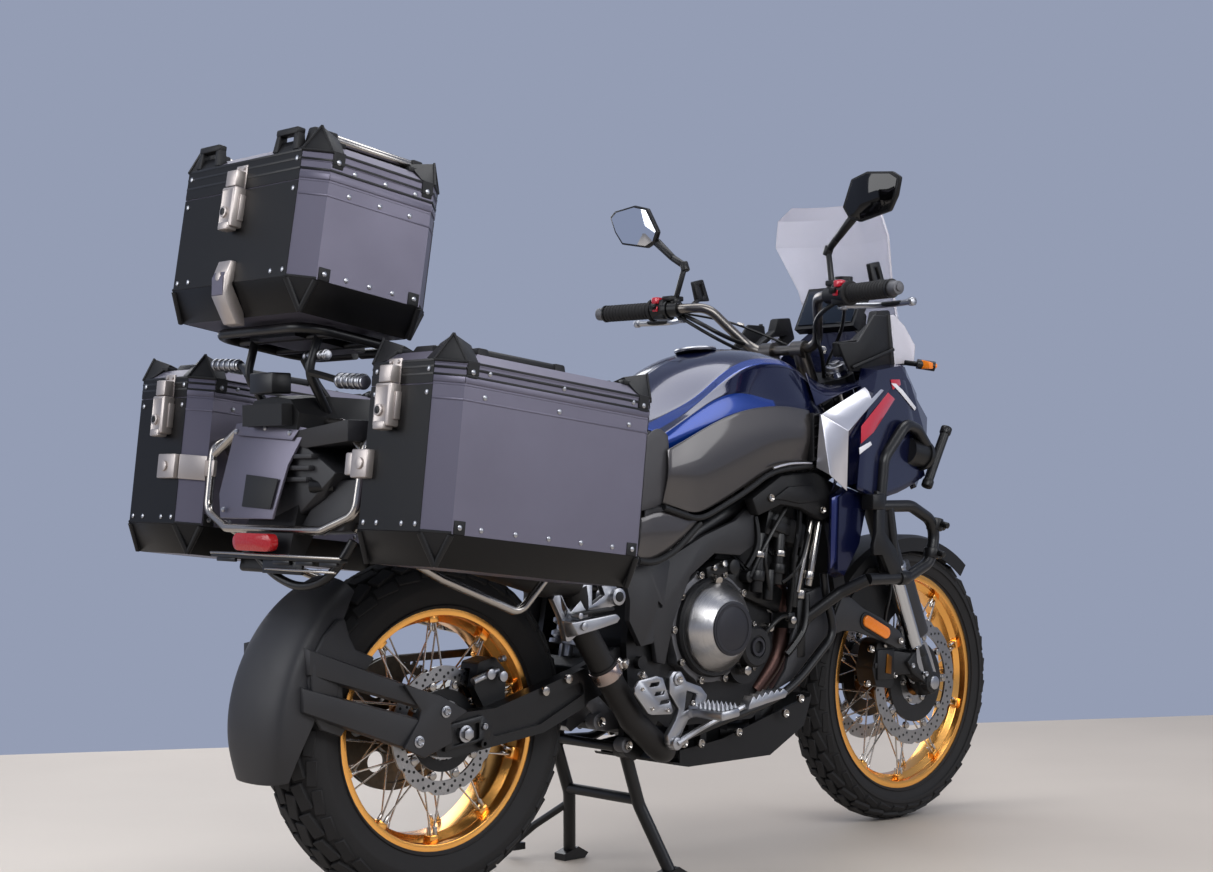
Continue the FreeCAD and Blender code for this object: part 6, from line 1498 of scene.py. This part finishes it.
plate_screws += [screw((475, -216, 410), (0, -1, 0), 7, 3), screw((487, -211, 284), (0, -1, 0), 10, 8),
    screw((516, -211, 360), (0, -1, 0), 6, 4), *bars([((380, -205, 427), (402, -200, 404), 8),
    ((254, -130, 420), (254, -138, 420), 9), ((195, -130, 401), (195, -138, 401), 9)], edge=1)]
hand_over(pair(*plate_screws), "bracket_screws", "brushed_stainless")
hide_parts("footrest_hangers")

# %% Exhaust clamp, heel guards and the silencer's end
exhaust_clamp = bar((335, -161, 419), (321, -160, 440), 31.5, edge=1.5, sides=40)
hand_over(exhaust_clamp, "exhaust_clamp", "heat_tinted_clamp", smooth=30)
clamp_screws = [bar((352, -186, 442), (366, -178, 450), 8, edge=1), bar((350, -170, 455), (362, -182, 436), 6,
    edge=1), block((344, -184, 436), (358, -168, 452), edge=2)]
hand_over(join(clamp_screws), "exhaust_clamp_screw", "brushed_stainless")
linkage = [plate([(340, 371), (366, 377), (432, 318), (436, 306), (380, 305), (334, 360)], -100, -92, 3),
    bar((358, -86, 327), (358, -112, 327), 17, edge=2), bar((400, -120, 280), (400, -146, 280), 15, edge=2)]
hand_over(pair(*linkage), "shock_linkage", "gasket_grey_casting", smooth=30)
link_bolts = [screw((358, -112, 327), (0, -1, 0), 10, 6), screw((400, -146, 280), (0, -1, 0), 9, 6)]
hand_over(pair(*link_bolts), "linkage_bolts", "brushed_stainless")
print("engine side placed")

# %% [markdown]
# ## Fork, front fender and brakes
# The chrome sliders run down from black tubes with a silver collar into black castings that clamp the axle.
# The fender's lower blade reaches forward to the fork and holds a long amber reflector. Discs have drilled
# rotors on dark carriers held by round buttons.

# %% Fork castings, fender blades and reflectors
FORK_LEAN = radians(24)


def fork_at(along, y, ahead=0.0):
    """A point up the fork from the front axle, in mm."""
    return (FRONT_AXLE[0] - along * sin(FORK_LEAN) + ahead * cos(FORK_LEAN), y,
        FRONT_AXLE[2] + along * cos(FORK_LEAN) + ahead * sin(FORK_LEAN))


def sleeve(low, high, *radii, edge=2, sides=32):
    """A bar round the right fork leg between two distances from the axle, in mm."""
    return bar(fork_at(low, -100), fork_at(high, -100), *radii, edge=edge, sides=sides)


castings = [sleeve(-22, 72, 28, 25), sleeve(72, 96, 25, 23.5, edge=1), bar((FRONT_AXLE[0], -76,
    FRONT_AXLE[2]), (FRONT_AXLE[0], -126, FRONT_AXLE[2]), 26, edge=2, sides=32), lump([fork_at(10, -124, -24),
    fork_at(10, -84, -24), fork_at(92, -118, -22), fork_at(92, -84, -22), fork_at(50, -118, -52),
    fork_at(50, -84, -52), fork_at(84, -118, -58), fork_at(84, -84, -58)], 3), bar(fork_at(302, -100),
    fork_at(560, -100), 28.5, edge=2, sides=32)]
guard = lump([fork_at(along, y, ahead) for along in (112, 296) for y, ahead in ((-123, 2), (-122, 30),
    (-112, 50), (-92, 52), (-81, 30), (-88, 4))], 5)
hand_over(pair(guard), "fork_guards", "dark_grey_plastic", "steering", smooth=40)
hand_over(pair(*castings), "fork_castings", "black_engine_enamel", "steering")
collars = [sleeve(264, 292, 29.5), sleeve(292, 303, 32, edge=1.5), sleeve(786, 799, 23),
    sleeve(799, 806, 13, edge=1, sides=6), bar((FRONT_AXLE[0], -120, FRONT_AXLE[2]), (FRONT_AXLE[0], -131,
    FRONT_AXLE[2]), 16, edge=2, sides=24), screw(fork_at(34, -126, -20), (0, -1, 0), 6, 6),
    screw(fork_at(70, -118, -48), (0, -1, 0), 6, 6)]
hand_over(pair(*collars), "fork_collars", "forged_alloy", "steering")
blade = plate([(1062, 489), (1092, 540), (1123, 540), (1168, 513), (1235, 487), (1297, 456), (1320, 434),
    (1316, 417), (1292, 414), (1245, 432), (1143, 462), (1099, 466), (1069, 460)], -115, -106, 3)
web = lump([(1062, -66, 492), (1062, -66, 462), (1150, -66, 512), (1150, -66, 466), (1066, -112, 486),
    (1070, -112, 464), (1130, -112, 530), (1130, -112, 468)], 4)
hand_over(pair(blade, web), "fender_blades", "dark_grey_plastic", "steering", smooth=30)
base = plate(pill((1208, 469), 114, 40, FORK_LEAN), -118, -113, 1.5)
hand_over(pair(base), "amber_reflector_frames", "black_moulded_plastic", "steering")
amber = plate(pill((1208, 469), 100, 27, FORK_LEAN), -123, -116, 2.5)
hand_over(pair(amber), "amber_reflectors", "amber_reflector_lens", "steering", smooth=50)
bolts = [screw((1296, -115, 433), (0, -1, 0), 8, 6), screw((1214, -96, 417), (0, -1, 0), 8, 7),
    screw((1200, -96, 340), (0, -1, 0), 8, 7), bar((1262, -96, 424), (1262, -104, 424), 6, edge=1),
    screw((1300, -96, 352), (0, -1, 0), 7, 6)]
hand_over(pair(*bolts), "front_caliper_bolts", "brushed_stainless", "steering")
caliper = [block((1236, -101, 344), (1298, -94, 414), edge=5), block((1228, -99, 372), (1306, -92, 384),
    edge=2), lump([(1290, -100, 352), (1290, -100, 410), (1372, -118, 352), (1372, -118, 396),
    (1290, -92, 352), (1290, -92, 410), (1372, -100, 352), (1372, -100, 396)], 3)]
hand_over(pair(*caliper), "caliper_housings", "black_engine_enamel", "steering", smooth=30)
badge = plate([(1262, 360), (1282, 356), (1286, 396), (1268, 404)], -103, -100.5, 0.8)
hand_over(pair(badge), "caliper_plates", "bronze_anodised_hub", "steering")
brake_lines = [tube([(1262, -100, 424), (1240, -112, 480), (1256, -128, 560), (1230, -130, 680),
    (1190, -120, 800)], 4), tube([(1262, 100, 424), (1240, 112, 480), (1256, 128, 560), (1230, 130, 680),
    (1190, 120, 800)], 4)]
hand_over(join(brake_lines), "front_brake_lines", "control_plastic", "steering", smooth=60)

# %% Disc carriers, buttons and drillings
for name, centre, y, radius, body in (("front_left", FRONT_AXLE, 70, 148, "front_wheel"), ("front_right",
        FRONT_AXLE, -70, 148, "front_wheel"), ("rear", REAR_AXLE, -68.5, 120, "rear_wheel")):
    middle = (centre[0], y, centre[2])
    carrier = turned_ring([(-3.4, 56), (-3.4, radius * 0.64), (3.4, radius * 0.64), (3.4, 56)], middle, 72)
    hand_over(carrier, name + "_disc_carrier", "black_engine_enamel", body, smooth=30)
    buttons = [around(bar((centre[0] + radius * 0.72, y - 5, centre[2]), (centre[0] + radius * 0.72, y + 5,
        centre[2]), 8, edge=1, sides=18), 10, middle), around(bar((centre[0] + 46, y - 7, centre[2]),
        (centre[0] + 46, y + 7, centre[2]), 7, edge=1, sides=16), 6, middle)]
    hand_over(join(buttons), name + "_disc_buttons", "brushed_stainless", body)
    holes = []
    for reach, first in ((radius * 0.83, 0.0), (radius * 0.885, 0.09), (radius * 0.94, 0.18)):
        holes.append(around(bar((centre[0] + reach, y - 2.8, centre[2]), (centre[0] + reach, y + 2.8,
            centre[2]), 3, sides=10), 24, middle, first))
    hand_over(join(holes), name + "_disc_drillings", "control_plastic", body)

# %% [markdown]
# ## Crash bars and lamps
# The tubular guards carry bracket plates, bolted clamps and plastic end caps, and a round lamp sits in each
# loop. Lamp glass is a clear shell over bright bowls, as in the real lamps.

# %% Guard fittings and lamps
def glass_finish(name, colour, rough=0.03, clear=0.9, metallic=0.0):
    """Clear or silvered glass."""
    shader = new_finish(name)[1]
    feed(shader, {"Base Color": hex_colour(colour), "Roughness": rough, "Transmission Weight": clear,
        "IOR": 1.49, "Metallic": metallic})


glass_finish("clear_lamp_glass", "f4f6fa")
fittings = [plate([(1038, 780), (1066, 772), (1064, 690), (1104, 652), (1130, 596), (1092, 582), (1056, 640),
    (1028, 640), (1026, 662), (1036, 690)], -258, -247, 2.5), block((1020, -262, 738), (1062, -228, 772),
    edge=4), tube([(1350, -207, 916), (1306, -206, 840), (1277, -209, 792)], 11, sides=20),
    bar((1344, -207, 906), (1353, -207, 922), 13, edge=3, sides=24), bar((1283, -209, 802), (1274, -209, 786),
    13, edge=3, sides=24), bar((1262, -244, 716), (1256, -244, 690), 18, edge=2, sides=24),
    bar((1246, -246, 650), (1242, -246, 628), 18, edge=2, sides=24), *bars([((1262, -260, 704),
    (1262, -278, 700), 7), ((1278, -244, 700), (1292, -244, 694), 7), ((1248, -260, 640), (1248, -278, 636),
    7), ((1262, -246, 638), (1276, -246, 630), 7)], edge=1), bar((1150, -250, 588), (1120, -250, 588), 16,
    edge=2, sides=24)]
hand_over(pair(*fittings), "crash_bar_fittings", "control_plastic")
bowls = [bar((1262, -205, 858), (1269.5, -205, 857), 29, edge=1, sides=40)]
hand_over(pair(*bowls), "auxiliary_lamp_bowls", "polished_fork_chrome")
glasses = [bar((1269, -205, 857), (1274, -205, 856), 31, 27, edge=1, sides=40)]
hand_over(pair(*glasses), "auxiliary_lamp_glasses", "clear_lamp_glass", smooth=50)
lamp_glass = lump([(x, side * y, z) for x, outline in ((1394, ((68, 938), (76, 890), (56, 812))), (1434,
    ((40, 918), (48, 880), (34, 832)))) for side in (1, -1) for y, z in outline], 6)
hand_over(lamp_glass, "headlamp_glass", "clear_lamp_glass", smooth=50)
lamp_bowls = [bar((1420, y, z), (1426, y, z), radius, edge=1.5, sides=40) for y, z, radius in ((0, 902, 24),
    (0, 848, 18), (34, 880, 10), (-34, 880, 10))]
hand_over(join(lamp_bowls), "headlamp_bowls", "polished_fork_chrome")
signals = [lump([(1238, -210, 1074), (1238, -210, 1050), (1238, -245, 1066), (1238, -245, 1050),
    (1268, -214, 1070), (1268, -214, 1050), (1268, -240, 1062), (1268, -240, 1050)], 3),
    bar((1262, -238, 1058), (1268, -240, 1057), 6, edge=1)]
hand_over(pair(*signals), "signal_lenses", "amber_reflector_lens", smooth=50)

# %% [markdown]
# ## Cockpit
# Rubber grips with end weights, switch blocks with red keys and silver levers sit on the bar. The dash's side
# walls close the gap to the screen, and mirrors stand on jointed stems. Rubber is ringed, so the rings are
# modelled.

# %% Grips, switches and levers
def bar_at(y, dx=0.0, dz=0.0):
    """A point on the right grip's axis, in mm."""
    share = (abs(y) - 204) / 227
    return (922 - 45 * share + dx, y, 1194 - 2 * share + dz)


grips = [bar(bar_at(-292), bar_at(-420), 18.4, edge=1, sides=28), bar(bar_at(-290), bar_at(-297), 26,
    edge=1.5, sides=28)]
for y in range(304, 420, 9):
    grips.append(bar(bar_at(-y), bar_at(-y - 4), 19.6, edge=0.8, sides=28))
hand_over(pair(*grips), "rubber_grips", "tyre_rubber", "steering", smooth=30)
weights = [bar(bar_at(-424), bar_at(-446), 16.5, 14, edge=1.5, sides=28), bar(bar_at(-446), bar_at(-449), 8,
    edge=0.8)]
hand_over(pair(*weights), "bar_end_weights", "gasket_grey_casting", "steering")
levers = [tube([(946, -242, 1172), (984, -290, 1172), (980, -350, 1171), (966, -404, 1172)], 6.5, sides=16),
    bar((966, -400, 1172), (965, -414, 1172), 9, edge=3, sides=24), bar((946, -240, 1164), (946, -240, 1182),
    10, edge=1, sides=20)]
hand_over(pair(*levers), "hand_levers", "forged_alloy", "steering", smooth=50)
switches = [block((892, -286, 1170), (934, -250, 1216), edge=6), block((900, -262, 1212), (940, -228, 1224),
    edge=3), block((930, -248, 1180), (962, -226, 1206), edge=4), bar((872, -268, 1198), (884, -268, 1200), 7,
    edge=1.5)]
hand_over(pair(*switches), "switch_blocks", "control_plastic", "steering")
keys = [block((886, -282, 1206), (906, -262, 1222), edge=4), block((884, -276, 1188), (892, -262, 1200),
    edge=2)]
hand_over(pair(*keys), "red_switch_keys", "red_lacquer", "steering", smooth=40)
stubs = [plate([(1000, 1264), (1034, 1272), (1056, 1222), (1014, 1218)], -268, -256, 3, holes=[[(1018, 1256),
    (1026, 1258), (1038, 1232), (1030, 1230)]]), bar((1020, -262, 1222), (962, -240, 1192), 6, edge=1)]
hand_over(pair(*stubs), "wind_guard_stubs", "control_plastic", "steering")

# %% Mirrors
def head_outline(x, scale, thick=0.0):
    """The mirror's outline round its centre, leaning back, as points in mm on the right side."""
    points = []
    for y, z in ((274, 1374), (303, 1430), (345, 1441), (412, 1434), (431, 1421), (419, 1385), (398, 1355),
            (316, 1340), (288, 1350)):
        lean = -0.12 * (z - 1390)
        points.append((x + lean + thick, -(353 + (y - 353) * scale), 1390 + (z - 1390) * scale))
    return points


shell = lump(head_outline(900, 1.0) + head_outline(910, 1.0) + head_outline(927, 0.6), 3)
stem = [bar((916, -292, 1352), (920, -244, 1312), 10, 8, edge=1), bar((920, -244, 1312), (928, -214, 1292), 8,
    edge=1), bar((928, -218, 1300), (928, -210, 1280), 10, edge=2), bar((928, -214, 1290), (917, -234, 1212),
    6.5, edge=0.5), bar((917, -234, 1218), (916, -235, 1204), 12, edge=2)]
mirror_pieces = pair(shell, *stem)
hand_over(mirror_pieces, "mirror_shells_and_stems", "control_plastic", "steering", smooth=30)
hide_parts("mirrors")
# The right mirror's glass is dark unsilvered glass: a painted reflection of dark surroundings, where the left
# mirror is a real mirror.
glass_finish("mirror_glass_painted_dark_reflection", "050506", 0.04, clear=0.0)
glass_finish("mirror_glass", "dfe3ea", 0.04, clear=0.0, metallic=1.0)
for name, finish, mirrored in (("right_mirror_glass", "mirror_glass_painted_dark_reflection", False),
        ("left_mirror_glass", "mirror_glass", True)):
    glass = lump(head_outline(898.6, 0.9) + head_outline(901, 0.9), 0.5)
    if mirrored:
        glass.data.transform(MIRROR)
        glass.data.flip_normals()
    hand_over(glass, name, finish, "steering", smooth=30)

# %% Dash walls, display and cables
dash = [plate([(1112, 1166), (1168, 1166), (1186, 1044), (1027, 1038), (988, 1098), (1055, 1104)], -192, -184,
    3), plate([(1030, 1104), (1090, 1112), (1150, 1152), (1160, 1180), (1205, 1184), (1222, 1135),
    (1129, 1075), (1034, 1072)], -160, -136, 5, holes=[[(1060, 1096), (1088, 1098), (1150, 1136),
    (1190, 1140), (1128, 1086), (1064, 1084)]]), bar((1030, -196, 1046), (1172, -196, 1092), 4, edge=1),
    bar((1172, -190, 1040), (1160, -190, 1170), 5, edge=1)]
hand_over(pair(*dash), "dash_walls", "black_moulded_plastic", smooth=30)
lower_screen = plate([(1176, 1168), (1196, 1172), (1234, 1150), (1274, 1106), (1270, 1068), (1196, 1060)],
    -178, -174.5, 1.0)
hand_over(pair(lower_screen), "lower_screen_wings", "clear_acrylic_screen")
glass_finish("display_glass", "0a1420", 0.06, clear=0.0)
display = block((1186.2, -80, 1154.6), (1188.8, 80, 1246.6), edge=1, turn=(0, 28, 0))
hand_over(display, "instrument_display", "display_glass")
cables = [tube([(940, 236, 1184), (918, 170, 1164), (975, 120, 1122), (1040, 92, 1104), (1090, 70, 1060)], 5),
    tube([(930, 230, 1176), (925, 176, 1150), (985, 128, 1108), (1046, 100, 1084), (1092, 62, 1030)], 4),
    tube([(946, 238, 1186), (1000, 170, 1172), (1060, 120, 1146), (1112, 64, 1112)], 3),
    tube([(940, -236, 1184), (926, -180, 1160), (985, -128, 1112), (1050, -96, 1084), (1092, -62, 1030)], 5),
    tube([(950, -240, 1180), (1010, -190, 1150), (1060, -130, 1110), (1092, -70, 1060)], 4)]
hand_over(join(cables), "bar_cables", "control_plastic", "steering", smooth=60)
ferrules = [bar((990, 181, 1174), (1006, 164, 1171), 4.5, edge=0.6), bar((1030, 145, 1161), (1042, 135, 1157),
    4.5, edge=0.6), bar((1050, -96, 1092), (1056, -90, 1088), 8, edge=1)]
hand_over(join(ferrules), "cable_ferrules", "brushed_stainless", "steering")
print("front end and cockpit placed")

# %% [markdown]
# ## Rims and spokes
# The rims are rolled aluminium with a raised edge, and the spokes hook into blocks inside each edge with a
# nipple. The rim is its section spun round the axle, and one block and one nipple are copied round it.

# %% Rims, spoke blocks and nipples
SEAT_DEPTH = 14


def wheel(name, body, axle, radius, width, lug_y):
    """A spoked rim in the place of the CAD rim."""
    half, seat = width / 2, radius - SEAT_DEPTH
    side = [(half, radius), (half - 5, radius), (half - 6, seat), (half * 0.55, seat),
        (half * 0.4, seat - 14)]
    under = [(half * 0.4, seat - 19), (half * 0.6, seat - 5), (half, seat - 5)]
    section = side + [(-y, r) for y, r in reversed(side)] + [(-y, r) for y, r in reversed(under)] + under
    band = turned_ring(section, axle, 96)
    modify(band, "BEVEL", width=0.0012, segments=2, limit_method="ANGLE", angle_limit=radians(30))
    blocks, nipples = [], []
    for hand in (1, -1):
        y = hand * lug_y
        lug = block((axle[0] + seat - 20, y - 9, axle[2] - 11), (axle[0] + seat - 4, y + 9, axle[2] + 11),
            edge=3)
        first = radians(18) if hand < 0 else 0.0
        blocks.append(around(lug, 10, axle, first))
        for lean in (1, -1):
            turn = radians(lean * 1.6)
            start = (axle[0] + (seat - 34) * cos(turn), y + lean * 3, axle[2] - (seat - 34) * sin(turn))
            end = (axle[0] + (seat - 18) * cos(turn), y + lean * 3, axle[2] - (seat - 18) * sin(turn))
            nipples.append(around(bar(start, end, 4, edge=0.6, sides=10), 10, axle, first))
    piece = join([band] + blocks)
    hand_over(piece, name + "_rim_with_blocks", "gold_anodised_rim", body, smooth=30)
    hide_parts(name + "_rim")
    hand_over(join(nipples), name + "_spoke_nipples", "spoke_steel", body)
    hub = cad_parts[name + "_hub"]
    hub.data.materials.append(finishes["spoke_steel"])
    middle = at(*axle)
    for face in hub.data.polygons:
        spot = hub.matrix_world @ face.center
        if Vector((spot.x - middle.x, spot.z - middle.z)).length > 0.058:
            face.material_index = len(hub.data.materials) - 1


wheel("front", "front_wheel", FRONT_AXLE, 258, 80, 22)
wheel("rear", "rear_wheel", REAR_AXLE, 232, 118, 34)
print("wheels placed")
